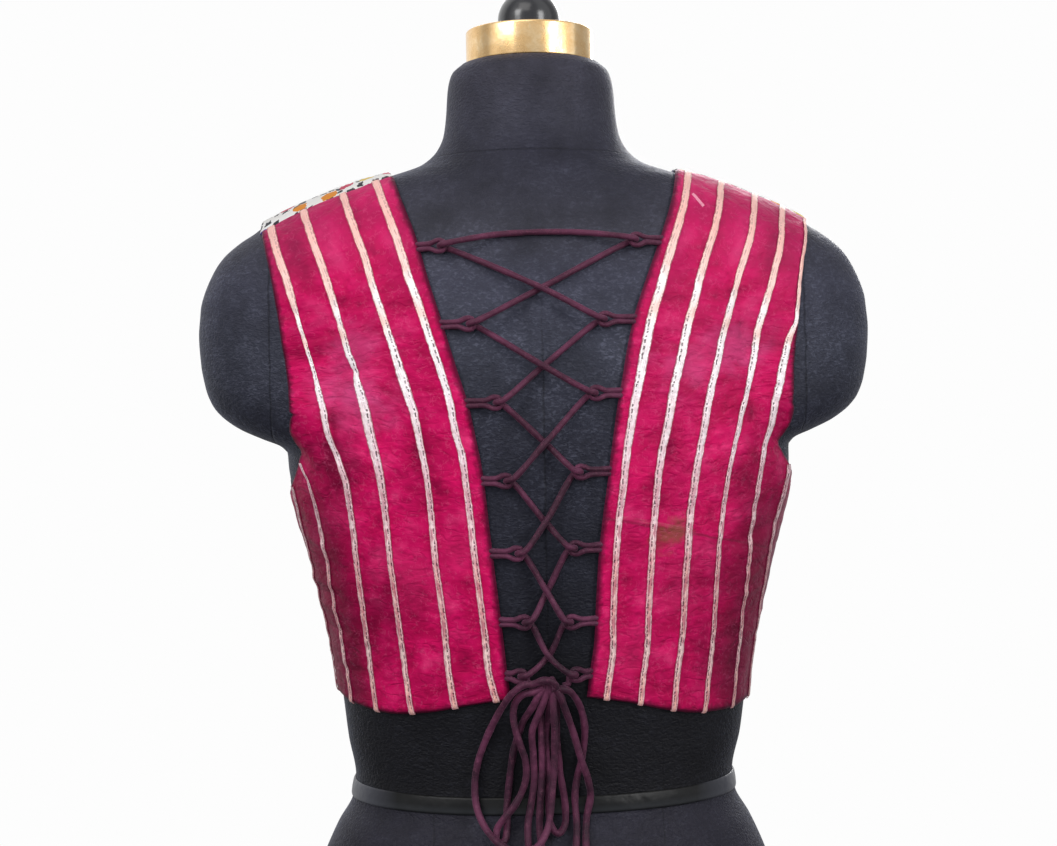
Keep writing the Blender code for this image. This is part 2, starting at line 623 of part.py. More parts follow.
class Panel:
    """A grid of points on the form's skin, from the hem up to the shoulder seam.

    Each row runs from the inner edge out to the side seam or the armhole.  distances
    holds how far each point is from the inner edge along its row, in millimetres.
    """

    def __init__(self, side, face, levels, columns, inner, outer_below, outer_above, hem, folds):
        self.side, self.face, self.columns = side, face, columns
        name = SIDE_NAMES[side]
        self.inner = smooth_column(inner, "level", name)
        self.outer_below = smooth_column(outer_below, "level", name)
        self.outer_above = smooth_column(outer_above, "level", name)
        self.hem = smooth_column(hem, "distance", name)
        self.folds = folds
        self.levels = levels
        self.rows, self.distances = [], []
        for level in levels:
            self.add_row(level)

    def ends(self, curve, level):
        """Where the row starts and ends on its curve."""
        start = place_on(curve, lambda p: abs(p.x), self.inner(level) * MM)
        if level > PIVOT:
            return start, place_on(curve, lambda p: abs(p.x), self.outer_above(level) * MM)
        short = self.outer_below(level) * MM + SEAM_GAP / 2
        return start, place_on(curve, lambda p: -p.y * self.face, -short)

    def add_row(self, level):
        curve = row_curve(level, self.side, self.face)
        start, end = self.ends(curve, level)
        reading = (end - start) / ROW_READINGS
        walk = [point_at(curve, start + reading * k)[0] for k in range(ROW_READINGS + 1)]
        lengths = [0.0]
        for a, b in zip(walk, walk[1:]):
            lengths.append(lengths[-1] + (b - a).length)
        row, distances = [], []
        for j in range(self.columns + 1):
            wanted = lengths[-1] * j / self.columns
            i = min(bisect.bisect_right(lengths, wanted), ROW_READINGS) - 1
            part = (wanted - lengths[i]) / (lengths[i + 1] - lengths[i])
            point, normal = point_at(curve, start + reading * (i + part))
            distance = wanted / MM
            point, normal = self.follow_hem(point, normal, level, distance)
            row.append(point + normal * (EASE + self.fold_height(level, distance) * MM))
            distances.append(distance)
        self.rows.append(row)
        self.distances.append(distances)

    def follow_hem(self, point, normal, level, distance):
        """Near the hem, a row takes on the hem's own rise and fall."""
        fade = 1 - (level - HEM_LEVEL) / HEM_FADE
        if fade <= 0:
            return point, normal
        height = point.z + (self.hem(distance) - HEM_LEVEL) * fade ** 2 * MM
        towards = Vector((point.x, point.y, 0)).normalized()
        return on_skin(Vector((0, 0, height)), towards)

    def fold_height(self, level, distance):
        height = 0.0
        for fold in self.folds:
            slant = math.radians(fold.slant)
            up, out = level - fold.level, distance - fold.distance
            along = up * math.cos(slant) + out * math.sin(slant)
            across = out * math.cos(slant) - up * math.sin(slant)
            height += fold.height * math.exp(-(along / fold.length) ** 2 - (across / fold.width) ** 2)
        return height


def add_panel(name, halves, finish, collection):
    """One piece of cloth from one or two half grids, welded where they share points."""
    cloth = bmesh.new()
    for half in halves:
        points = [cloth.verts.new(point) for row in half.rows for point in row]
        for face in grid_faces(len(half.rows), half.columns + 1):
            order = face if half.side * half.face < 0 else tuple(reversed(face))
            cloth.faces.new([points[i] for i in order])
    bmesh.ops.remove_doubles(cloth, verts=cloth.verts, dist=0.02 * MM)
    mesh = bpy.data.meshes.new(name)
    cloth.to_mesh(mesh)
    cloth.free()
    obj = add_object(name, mesh, finish, collection)
    add_wall(obj, WALL)
    return obj


Stop = namedtuple("Stop", "level distance")
Station = namedtuple("Station", "row distance")


def grid_normals(rows, turn):
    """The outward normal at each point of a grid, from its neighbours."""
    normals = []
    last_row, last = len(rows) - 1, len(rows[0]) - 1
    for i, row in enumerate(rows):
        line = []
        for j in range(len(row)):
            up = rows[min(i + 1, last_row)][j] - rows[max(i - 1, 0)][j]
            out = row[min(j + 1, last)] - row[max(j - 1, 0)]
            line.append((up.cross(out) * turn).normalized())
        normals.append(line)
    return normals


def ribbon_stations(panel, line):
    """Where a ribbon's middle lies on each row, up to the row where it meets the armhole."""
    distance_at = smooth_column([Stop(*pair) for pair in zip(RIBBON_LEVELS, line.distances)],
                                "level", "distance")
    edge_room = RIBBON_WIDTH / MM / 2 + RIBBON_INSET
    stations = []
    for i, level in enumerate(panel.levels):
        distance = distance_at(level)
        room = panel.distances[i][-1] - edge_room - distance
        if room < 0 and not line.follows:
            part = last_room / (last_room - room)
            stations.append(Station(i - 1 + part, stations[-1].distance * (1 - part) + distance * part))
            break
        stations.append(Station(i, distance + min(room, 0)))
        last_room = room
    return stations


def above_panel(panel, normals, row, distance, rise):
    """A point this far above the panel's inner face."""
    found = []
    for i in (int(row), min(int(row) + 1, len(panel.rows) - 1)):
        distances = panel.distances[i]
        j = min(bisect.bisect_right(distances, distance), len(distances) - 1) - 1
        part = (distance - distances[j]) / (distances[j + 1] - distances[j])
        base = panel.rows[i][j].lerp(panel.rows[i][j + 1], part)
        found.append(base + normals[i][j].lerp(normals[i][j + 1], part) * rise)
    return found[0].lerp(found[1], row - int(row))


def add_ribbon(panel, line, collection):
    """A woven ribbon sewn along a panel, made from the panel's points and moved out."""
    turn = panel.side * panel.face
    normals = grid_normals(panel.rows, turn)
    half = RIBBON_WIDTH / MM / 2
    points = [
        above_panel(panel, normals, station.row, station.distance + edge, WALL + RIBBON_LIFT)
        for station in ribbon_stations(panel, line)
        for edge in (-half, half)
    ]
    faces = grid_faces(len(points) // 2, 2)
    if turn > 0:
        faces = [tuple(reversed(face)) for face in faces]
    name = f"ribbon_{SIDE_NAMES[panel.side]}_{line.name}"
    ribbon = add_object(name, mesh_from(name, points, faces), "metallic_ribbon", collection)
    add_wall(ribbon, RIBBON_WALL)
    return ribbon


# ================================================================ loops, lace and bow

def laid_on_back(route, step):
    """A smooth cord route over the back, from points of x, height and rise."""
    return [on_back(x, height, max(rise, LACE_REST)) for x, height, rise in through_points(route, step)]


def edge_point(panel, height):
    """The middle of the cloth's edge at the opening, at this height."""
    edge = [row[0] for row in panel.rows]
    for low, high in zip(edge, edge[1:]):
        if low.z <= height <= high.z:
            return low.lerp(high, (height - low.z) / (high.z - low.z))
    return edge[0] if height < edge[0].z else edge[-1]


def add_edge_loop(name, loop, panel, collection):
    """A thin cord loop on the opening's edge, with a round eye for the lace."""
    height = loop.height * MM
    eye_x = loop.tip * MM
    root_rise = EASE + WALL / 2
    roots = [
        (abs(edge_point(panel, height + up).x) - 3 * SEAM_GAP - eye_x, up)
        for up in (LOOP_HALF_GAP, -LOOP_HALF_GAP)
    ]
    eye = [
        (LOOP_HOLE * math.cos(math.radians(turn)), LOOP_HOLE * math.sin(math.radians(turn)))
        for turn in LOOP_EYE_TURNS
    ]
    outline = [roots[0], (LOOP_NECK, LOOP_HALF_GAP)] + eye + [(LOOP_NECK, -LOOP_HALF_GAP), roots[1]]
    points = []
    for out, up in outline:
        part = max(0.0, min(1.0, 1 - (out - LOOP_HOLE) / max(roots[0][0] - LOOP_HOLE, MM)))
        rise = root_rise + (LOOP_RISE - root_rise) * part
        points.append(on_back(loop.side * (eye_x + out), height + up, rise))
    return add_cord(name, points, LOOP_DIAMETER, "maroon_cord", collection)


def through_eye(loop):
    """The lace's way through a loop's eye: over its tip, down and out behind it."""
    over = LOOP_RISE + (LACE_DIAMETER + LOOP_DIAMETER) / 2 + 0.5 * MM
    under = LOOP_RISE - (LACE_DIAMETER + LOOP_DIAMETER) / 2 - 0.5 * MM
    bend = ((LOOP_HOLE, 1.0, over), (0.7 * MM, 0.4, LOOP_RISE + 2.5 * MM), (0.1 * MM, 0.0, LOOP_RISE),
            (0.7 * MM, -0.4, LOOP_RISE - 2.5 * MM), (LOOP_HOLE, -1.0, under))
    eye = loop.tip * MM
    return [Vector((loop.side * (eye - inward), (loop.height + up) * MM, rise))
            for inward, up, rise in bend]


def lace_start(loop):
    """Both halves of the lace meet in the top left loop's eye: the ways in and out of it."""
    way = through_eye(loop)
    apart = Vector((0, 0, 2.5 * SEAM_GAP))
    return {"right": [way[2] + apart, way[1], way[0]], "left": [way[2] - apart, way[3], way[4]]}


def lace_route(half):
    """The points of one half of the lace, as x, height and rise, down to the knot."""
    rows = [EDGE_LOOPS[i:i + 2] for i in range(0, len(EDGE_LOOPS), 2)]
    route = lace_start(rows[0][0])[half]
    if half == "right":
        route += [Vector((x * MM, height * MM, rise * MM)) for x, height, rise in TOP_BAR]
        route += through_eye(rows[0][1])
    side = RIGHT if half == "left" else LEFT
    for crossing, row in zip(CROSSINGS, rows[1:]):
        rise = LACE_REST + (LAYER if crossing.over == half else 0)
        route.append(Vector((crossing.x * MM, crossing.height * MM, rise)))
        route += through_eye(row[0 if side == LEFT else 1])
        side = -side
    route += [Vector((-side * (KNOT_SIZE.x / 2 + out * MM), KNOT_HEIGHT + up * MM, KNOT_RISE + rise * MM))
              for out, up, rise in KNOT_ENTRY]
    return route


def add_lace(collection):
    for half in ("left", "right"):
        points = laid_on_back(lace_route(half), 3 * LACE_DIAMETER)
        add_cord(f"lace_{half}", points, LACE_DIAMETER, "maroon_cord", collection)


def add_knot(collection):
    """The bow's knot, as one rounded solid."""
    knot = bmesh.new()
    bmesh.ops.create_cube(knot, size=1, matrix=Matrix.Diagonal((*KNOT_SIZE, 1)))
    mesh = bpy.data.meshes.new("bow_knot")
    knot.to_mesh(mesh)
    knot.free()
    obj = add_object("bow_knot", mesh, "maroon_cord", collection)
    obj.location = on_back(0, KNOT_HEIGHT, KNOT_RISE)
    rounding = obj.modifiers.new("rounding", "BEVEL")
    rounding.width = KNOT_ROUNDING
    rounding.segments = 2
    return obj


def add_bow(collection):
    for name, rows in BOW_CORDS.items():
        points = [BowPoint(*row) for row in rows]
        route = [Vector((p.x * MM, p.height * MM, LACE_REST + LAYER * p.layer)) for p in points]
        add_cord(name, laid_on_back(route, 2.6 * LACE_DIAMETER), LACE_DIAMETER, "maroon_cord", collection)


# ================================================================ the whole part

def clear_scene():
    for obj in list(bpy.data.objects):
        bpy.data.objects.remove(obj, do_unlink=True)


def back_panel(side):
    seam = SHOULDER_LEVEL[side]
    levels = [level for level in BACK_LEVELS if level < seam - STRAP_START] + [seam]
    return Panel(side, BACK, levels, BACK_COLUMNS, BACK_OPENING, BACK_OUTER_BELOW, BACK_OUTER_ABOVE, BACK_HEM,
                 BACK_FOLDS[side])


def front_half(side):
    """Half the front, whose strap runs over the shoulder to the back panel's seam."""
    over = PIVOT + SWING * math.pi - (SHOULDER_LEVEL[side] - PIVOT) - SEAM_GAP / MM
    middle = (FRONT_LEVELS[-1] + over) / 2
    return Panel(side, FRONT, list(FRONT_LEVELS) + [middle, over], FRONT_COLUMNS, NECKLINE, FRONT_OUTER_BELOW,
                 FRONT_OUTER_ABOVE, FRONT_HEM, FRONT_FOLDS[side])


def main():
    clear_scene()
    part = bpy.data.collections.new("choli_blouse_on_dress_form")
    bpy.context.scene.collection.children.link(part)
    add_form(part)
    add_tape(part)
    add_neck_fittings(part)
    backs = {side: back_panel(side) for side in (LEFT, RIGHT)}
    for side, panel in backs.items():
        add_panel(f"back_panel_{SIDE_NAMES[side]}", [panel], "crimson_silk", part)
        for line in RIBBONS[side]:
            add_ribbon(panel, line, part)
    add_panel("front_panel", [front_half(LEFT), front_half(RIGHT)], "printed_cotton", part)
    for i, loop in enumerate(EDGE_LOOPS):
        name = f"edge_loop_{SIDE_NAMES[loop.side]}_{i // 2 + 1}"
        add_edge_loop(name, loop, backs[loop.side], part)
    add_lace(part)
    add_knot(part)
    add_bow(part)


main()
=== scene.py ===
import bisect
import math
from collections import namedtuple
from functools import partial
from itertools import accumulate

import bpy
from mathutils import Matrix, Vector, noise
from mathutils.bvhtree import BVHTree


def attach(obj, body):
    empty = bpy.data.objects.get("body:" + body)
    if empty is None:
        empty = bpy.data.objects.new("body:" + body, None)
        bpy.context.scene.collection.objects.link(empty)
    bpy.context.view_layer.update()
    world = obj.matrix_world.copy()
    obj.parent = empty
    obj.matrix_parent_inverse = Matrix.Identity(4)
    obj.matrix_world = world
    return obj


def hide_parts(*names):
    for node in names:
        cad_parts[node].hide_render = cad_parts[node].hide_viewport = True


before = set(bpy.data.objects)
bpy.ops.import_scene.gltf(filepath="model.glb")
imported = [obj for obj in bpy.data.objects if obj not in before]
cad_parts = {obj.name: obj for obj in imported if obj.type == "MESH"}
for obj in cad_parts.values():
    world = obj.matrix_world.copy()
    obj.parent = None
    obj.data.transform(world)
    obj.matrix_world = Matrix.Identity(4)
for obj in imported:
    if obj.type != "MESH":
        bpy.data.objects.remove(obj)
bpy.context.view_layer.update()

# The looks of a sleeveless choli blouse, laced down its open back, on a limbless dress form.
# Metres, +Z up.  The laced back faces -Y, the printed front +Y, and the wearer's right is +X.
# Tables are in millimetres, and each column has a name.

MM = 0.001
LEFT, RIGHT = -1, 1
BACK, FRONT = -1, 1
SIDE_NAMES = {LEFT: "left", RIGHT: "right"}
MIDDLE = Vector((0, 0, 0.33))           # of the form, to tell outwards from inwards


def table(columns, *rows):
    """The rows of a table, with a name for each column."""
    row = namedtuple("Row", columns)
    return [row(*values) for values in rows]


# ---------------------------------------------------------------- cloth and cord sizes

CLOTH_RISE = 3.0 * MM        # the cloth's outer face above the form
CLOTH_WALL = 1.1 * MM
EDGE_ROLL = 1.5              # how far in from an edge the cloth turns down, in millimetres
EDGE_DROP = 0.9              # and how far it turns down there
SEAM_GAP = 0.3 * MM          # between two pieces at a seam
RIBBON_WIDTH = 5.5           # a narrow woven metallic ribbon, in millimetres
RIBBON_WALL = 0.45 * MM
RIBBON_LIFT = 0.75 * MM      # a ribbon's outer face above the cloth's
RIBBON_INSET = 0.8           # a ribbon's edge from the armhole's edge, in millimetres
LOOP_DIAMETER = 3.2 * MM
LOOP_HALF_GAP = 1.7 * MM     # half the distance between a loop's two strands
LOOP_HOLE = 3.7 * MM         # radius of the centre line round the lace
LOOP_NECK = 5.7 * MM         # from the eye's centre to where the two strands run side by side
LOOP_EYE_TURNS = (72, 126, 180, 234, 288)
LACE_DIAMETER = 3.8 * MM
BOW_DIAMETER = 4.3 * MM       # slack, the tube is rounder than where it is drawn tight
LACE_REST = 2.6 * MM         # a lace's centre above the form where it lies on it
LOOP_RISE = 6.6 * MM         # a loop's tip above the form
LAYER = 4.7 * MM             # one lace on top of another
STEEPEST = 0.6               # the least slope of the back that a cord's rise is worked out for

# ---------------------------------------------------------------- the dress form

FORM_TOP = 562.0 * MM
TAPE_LOW, TAPE_HIGH = 82.0 * MM, 93.0 * MM

FORM_SECTIONS = table("height half_width back front squareness",
    (0, 161, 106, 98, 2.25),
    (20, 154, 104, 98, 2.25),
    (42, 146, 100, 97, 2.25),
    (62, 137, 93, 95, 2.2),
    (80, 127, 85, 92, 2.15),
    (94, 125, 83, 91, 2.15),
    (120, 130, 84, 94, 2.15),
    (148, 133.5, 87, 99, 2.2),
    (180, 138, 91, 106, 2.2),
    (210, 144.5, 95, 114, 2.25),
    (240, 151.5, 98, 121, 2.3),
    (270, 160, 100, 124, 2.3),
    (300, 165.5, 101, 122, 2.35),
    (330, 166, 101, 114, 2.35),
    (360, 163, 100, 103, 2.3),
    (390, 162, 97, 91, 2.25),
    (415, 165, 92, 80, 2.15),
    (435, 170, 86, 71, 2.05),
    (447, 174, 82, 66, 1.95),
    (455, 172, 78, 63, 1.9),
    (463, 163, 74, 61, 1.9),
    (473, 142, 69, 58, 1.9),
    (483, 117, 64, 56, 1.9),
    (488, 97, 61.5, 55.5, 1.95),
    (496, 73.5, 58.5, 55, 2.0),
    (506, 62.7, 56, 54.5, 2.0),
    (516, 58.3, 55, 54, 2.0),
    (528, 56.5, 54.5, 54, 2.0),
    (546, 55, 54, 54, 2.0),
    (556, 52.5, 52, 52, 2.0),
    (562, 46, 46, 46, 2.0),
)

# The form's centre line wanders a little to the right at the waist.
FORM_LEAN = table("height shift",
    (0, 0), (80, 0.8), (120, 2.0), (180, 2.5), (270, 2.4), (310, 1.2), (345, 0.8), (440, 0.6),
    (500, 0), (562, 0),
)

ARM_CAP = table("height reach",
    (308, 0), (312, 4), (317, 16), (324, 31), (332, 42), (340, 49), (352, 55), (366, 58.5),
    (386, 60.3), (402, 58), (414, 53), (426, 45), (436, 35.5), (446, 20.5), (453, 11),
    (463, 4), (473, 2), (483, 0),
)
CAP_SPREAD = math.radians(29)
CAP_ROUNDNESS = 1.6

BUST = table("height spread angle width rise", (285, 34, math.radians(146), math.radians(22), 7))[0]

NECK_CAP_RADIUS = 42.3 * MM
NECK_CAP_HEIGHT = 22.5 * MM
NECK_CAP_ROLL = 1.5 * MM       # the radius of its rolled rims
DENT_DEPTH, DENT_REACH = 0.9 * MM, 9 * MM     # of the dents in its lower rim, and how far up
KNOB_RADIUS = 20.8 * MM
KNOB_CENTRE = 592.0 * MM

# ---------------------------------------------------------------- the cut of the blouse

# A row's level is its height up to the pivot line.  Above it, the rows swing about that
# line, over the shoulder, and the level grows by SWING for each radian.
PIVOT = 335.0
SWING = 120.0
HEM_LEVEL = 146.0
HEM_FADE = 55.0              # height over which the hem's own curve dies out
SHOULDER_LEVEL = {LEFT: 492.0, RIGHT: 505.0}
ROW_SWEEP = range(0, 104, 2)  # degrees round from the centre line that a level row is read at
ROW_REACH = range(0, 208, 2)  # distances out from the centre line that a swung row is read at
ROW_READINGS = 60             # readings between a row's two ends
BY_LEVEL = "level left right"
# How far the opening's edge is from the centre line.
BACK_OPENING = table(BY_LEVEL,
    (146, 22.5, 23.5), (165, 24.3, 25.3), (190, 26.6, 28.6), (215, 29.2, 30.0),
    (240, 32.0, 31.6), (265, 34.6, 34.5), (285, 36.6, 37.5), (300, 38.5, 39.6),
    (315, 41.3, 41.8), (335, 45.2, 44.9), (355, 50.0, 48.2), (375, 55.0, 51.4),
    (400, 61.5, 57.0), (425, 68.7, 66.0), (445, 74.4, 74.5), (460, 80.0, 81.0),
    (475, 85.8, 86.4), (505, 93.5, 93.0),
)

# How far back of the form's widest line the panel's outer edge lies, below the pivot.
BACK_OUTER_BELOW = table(BY_LEVEL,
    (146, 0, 0), (279, 0, 0), (284, 21, 23), (289, 33, 36), (299, 44.5, 47), (305, 47, 51),
    (312, 51.5, 55), (326, 59, 59), (335, 63, 61),
)

# Half the width between the armholes, above the pivot.
BACK_OUTER_ABOVE = table(BY_LEVEL,
    (335, 156.0, 159.0), (355, 156.8, 160.4), (375, 158.2, 160.8), (400, 160.4, 162.4),
    (425, 163.2, 165.2), (445, 166.2, 167.4), (460, 169.0, 170.0), (475, 172.6, 173.8),
    (505, 177.4, 178.4),
)

BACK_HEM = table("distance left right",
    (0, 155.5, 155.5), (28, 151, 150.5), (52, 146.5, 144.5), (78, 144.5, 140.5),
    (105, 147, 140), (132, 151, 142.5), (165, 155, 146),
)

# A ribbon's distance from the opening edge at each of these levels.  It runs from the
# hem to the shoulder seam, or ends where it meets the armhole, or follows the armhole.
RIBBON_LEVELS = (146, 175, 205, 240, 270, 290, 305, 325, 350, 380, 410, 440, 475)
RIBBONS = {
    LEFT: table("name distances follows",
        ("a", (8.8, 11.2, 10.7, 11.0, 10.7, 10.8, 10.5, 11.6, 10.2, 9.9, 10.4, 11.4, 11.6), True),
        ("b", (34.2, 35.8, 35.0, 35.3, 34.5, 34.2, 34.2, 34.2, 34.7, 34.1, 34.0, 34.3, 34.2), True),
        ("c", (62.4, 64.2, 64.4, 64.4, 63.4, 63.7, 64.2, 65.2, 64.7, 63.2, 63.2, 63.2, 61.5), True),
        ("d", (88.8, 89.6, 89.3, 88.4, 87.3, 87.6, 91.5, 95.5, 94.3, 91.4, 89.3, 87.7, 85.0), True),
        ("e", (113.0, 113.9, 116.0, 115.9, 116.2, 119.2, 127.0) + (127.0,) * 6, False),
        ("f", (142.0, 142.2, 142.4, 142.6, 142.8) + (143.0,) * 8, False),
    ),
    RIGHT: table("name distances follows",
        ("a", (12.0, 12.3, 10.6, 10.4, 10.0, 9.7, 9.5, 10.0, 10.5, 10.9, 10.7, 8.8, 8.2), True),
        ("b", (33.3, 33.6, 33.0, 32.8, 31.8, 31.0, 31.4, 33.1, 33.8, 34.8, 34.4, 31.8, 31.0), True),
        ("c", (55.8, 56.3, 56.3, 56.1, 55.2, 55.2, 56.2, 57.4, 58.4, 60.0, 59.2, 57.6, 54.7), True),
        ("d", (79.3, 79.8, 79.0, 78.3, 77.6, 77.9, 80.0, 82.8, 86.0, 87.2, 84.0, 80.2, 74.5), True),
        ("e", (105.0, 104.8, 104.2, 103.6, 101.8, 103.0, 103.6, 107.2, 107.2, 106.8, 105.2, 103.0,
               98.0), True),
        ("f", (132.0, 131.8, 131.4, 130.4, 129.6, 131.0, 132.0) + (133.0,) * 6, False),
    ),
}

NECKLINE = table(BY_LEVEL,
    (350, 0, 0), (353, 15, 15), (357, 27, 27), (366, 42, 42), (378, 53, 53),
    (394, 61, 61), (412, 67, 67), (430, 72, 72), (448, 77, 77), (466, 82, 82),
    (484, 86.5, 86.5), (502, 90.5, 90.5), (520, 93, 93), (542, 93, 93), (555, 91, 93),
)
FRONT_OUTER_BELOW = table(BY_LEVEL,
    (146, 0, 0), (279, 0, 0), (284, 9, 17), (292, 16, 31), (300, 26, 41), (306, 38, 48),
    (312, 52, 53), (320, 60, 60), (335, 66.5, 66.5),
)
FRONT_OUTER_ABOVE = table(BY_LEVEL,
    (335, 155.5, 155.5), (350, 152.5, 152.5), (378, 150.5, 150.5), (394, 151.5, 151.5),
    (412, 154, 154), (430, 157.5, 157.5), (448, 161.5, 161.5), (466, 166, 166),
    (484, 170, 170), (502, 174, 174), (520, 177, 178), (555, 176.8, 178.4),
)
FRONT_HEM = table("distance left right",
    (0, 148, 148), (60, 146, 146), (120, 148, 144), (200, 155, 146),
)

# ---------------------------------------------------------------- folds in the cloth

# Level and distance from the opening (or the centre front) of a fold's middle, its
# half length, half width and height, and its slant from upright in degrees.
FOLD = "level distance length width height slant"
BACK_FOLDS = {
    LEFT: table(FOLD,
        (388, 62, 26, 7, 0.9, -62), (372, 66, 24, 7, -0.7, -62), (412, 96, 16, 7, 0.9, -50),
        (318, 110, 30, 9, 1.6, 18), (300, 118, 24, 7, -0.8, 24), (342, 112, 26, 8, 2.2, 4),
        (230, 100, 46, 10, 0.9, 6), (214, 30, 18, 5, 0.5, 84), (180, 120, 16, 6, 0.7, 80),
        (152, 60, 9, 30, 0.8, 0),
        # finer creases, where the stitches pinch the silk and wear has marked it
        (404, 78, 20, 3.5, 0.6, -66), (420, 84, 18, 3.5, 0.5, -58), (380, 82, 18, 3, -0.5, -60),
        (330, 118, 22, 4, 0.8, 10), (286, 112, 26, 5, 0.8, 12), (268, 120, 22, 4, -0.6, 24),
        (252, 124, 22, 3.2, 1.1, 72), (240, 118, 24, 3.2, -0.9, 78), (226, 124, 26, 3.2, 1.0, 82),
        (210, 120, 24, 3.2, 1.0, 86), (196, 126, 20, 3.2, -0.9, 80), (176, 112, 24, 3.6, 0.9, 84),
        (246, 44, 20, 3.5, 0.35, 70), (190, 52, 18, 3.5, 0.35, 84), (300, 50, 22, 4, 0.3, -20),
        (440, 110, 18, 4, 0.4, -40), (369, 50, 16, 2.4, -0.9, 82), (371, 64, 5, 3, -1.0, 40),
        (430, 90, 13, 2.2, -0.8, 66), (310, 94, 18, 7, -1.5, 56),
    ),
    RIGHT: table(FOLD,
        (352, 108, 34, 9, 2.4, -6), (288, 134, 20, 12, 3.2, 0), (318, 104, 26, 8, -0.7, -20),
        (300, 112, 24, 8, 1.6, -26), (384, 100, 24, 8, 1.0, 20), (410, 60, 18, 7, 0.7, 50),
        (262, 96, 34, 7, 0.8, 70), (244, 100, 30, 6, 0.7, 74), (226, 104, 28, 6, 0.7, 78),
        (198, 70, 22, 6, 0.5, 82), (150, 70, 9, 32, 0.8, 0),
        # finer creases, where the stitches pinch the silk and wear has marked it
        (366, 112, 26, 4, 1.2, -12), (338, 118, 24, 4, 1.1, -16), (324, 92, 22, 3.6, 1.0, -30),
        (310, 88, 20, 3.2, 0.9, -36), (278, 104, 24, 3.6, 1.1, 66), (254, 112, 26, 3.2, -1.0, 72),
        (236, 110, 26, 3.2, 1.1, 78), (216, 112, 24, 3.2, 1.0, 80), (204, 108, 24, 3.2, -0.9, 84),
        (186, 112, 24, 3.6, 0.9, 82), (240, 46, 20, 3.5, 0.35, 74), (396, 78, 20, 4, 0.5, 44),
        (432, 92, 18, 4, 0.4, 48), (350, 70, 20, 4, 0.35, 30), (352, 104, 14, 2.8, -0.9, 70),
        (404, 118, 14, 2.8, -0.8, 64), (420, 122, 12, 2.6, 0.8, 74), (230, 88, 18, 2.6, -0.7, 84),
    ),
}
FRONT_FOLDS = {
    LEFT: table(FOLD,
        (296, 192, 20, 14, 4.4, 6), (322, 158, 20, 8, 1.2, 30), (250, 60, 40, 10, 1.0, 8),
        (205, 120, 34, 8, -0.7, -14), (360, 110, 26, 8, 0.9, 36),
    ),
    RIGHT: table(FOLD,
        (302, 184, 22, 8, 2.2, -10), (326, 156, 20, 8, 1.2, -30), (230, 66, 44, 9, 0.9, -8),
        (200, 128, 30, 8, -0.7, 16), (372, 108, 24, 8, 0.9, -34),
    ),
}

# ---------------------------------------------------------------- loops, lace and bow

# The side, and the height and x of the tip, in pairs from the top.
EDGE_LOOPS = table("side height tip",
    (LEFT, 435.5, 62.0), (RIGHT, 437.7, 60.0), (LEFT, 386.4, 45.0), (RIGHT, 388.0, 38.4),
    (LEFT, 338.0, 29.6), (RIGHT, 342.8, 31.6), (LEFT, 290.4, 24.2), (RIGHT, 295.0, 21.6),
    (LEFT, 246.0, 18.0), (RIGHT, 248.5, 17.4), (LEFT, 203.5, 14.2), (RIGHT, 203.1, 14.6),
    (LEFT, 170.0, 17.2), (RIGHT, 170.2, 17.2),
)

# Where the lace crosses itself, and which half of it is over.
CROSSINGS = table("x height over",
    (-0.2, 407.9, "left"), (0.0, 359.9, "right"), (0.2, 313.0, "right"),
    (-0.5, 264.8, "left"), (0.0, 221.8, "left"), (0.6, 182.0, "right"),
)
# The top bar of the lace sags a little between the two top loops.
TOP_BAR = ((-30.0, 441.6, 4.4), (0.0, 443.2, 2.8), (28.0, 442.4, 4.0))

KNOT_HEIGHT = 163.5 * MM
KNOT_RISE = 9.0 * MM
KNOT_SIZE = Vector((16.0, 11.0, 9.0)) * MM
KNOT_CORE = 0.36               # the core's half size, as a part of the knot's
WRAP_RADIUS = 4.9              # of a turn of cord round the knot, along the knot
# How the lace comes to the knot: out from its side, up and rise, in millimetres.
KNOT_ENTRY = ((4.4, 1.0, -4.0), (1.0, 0.0, -3.4))

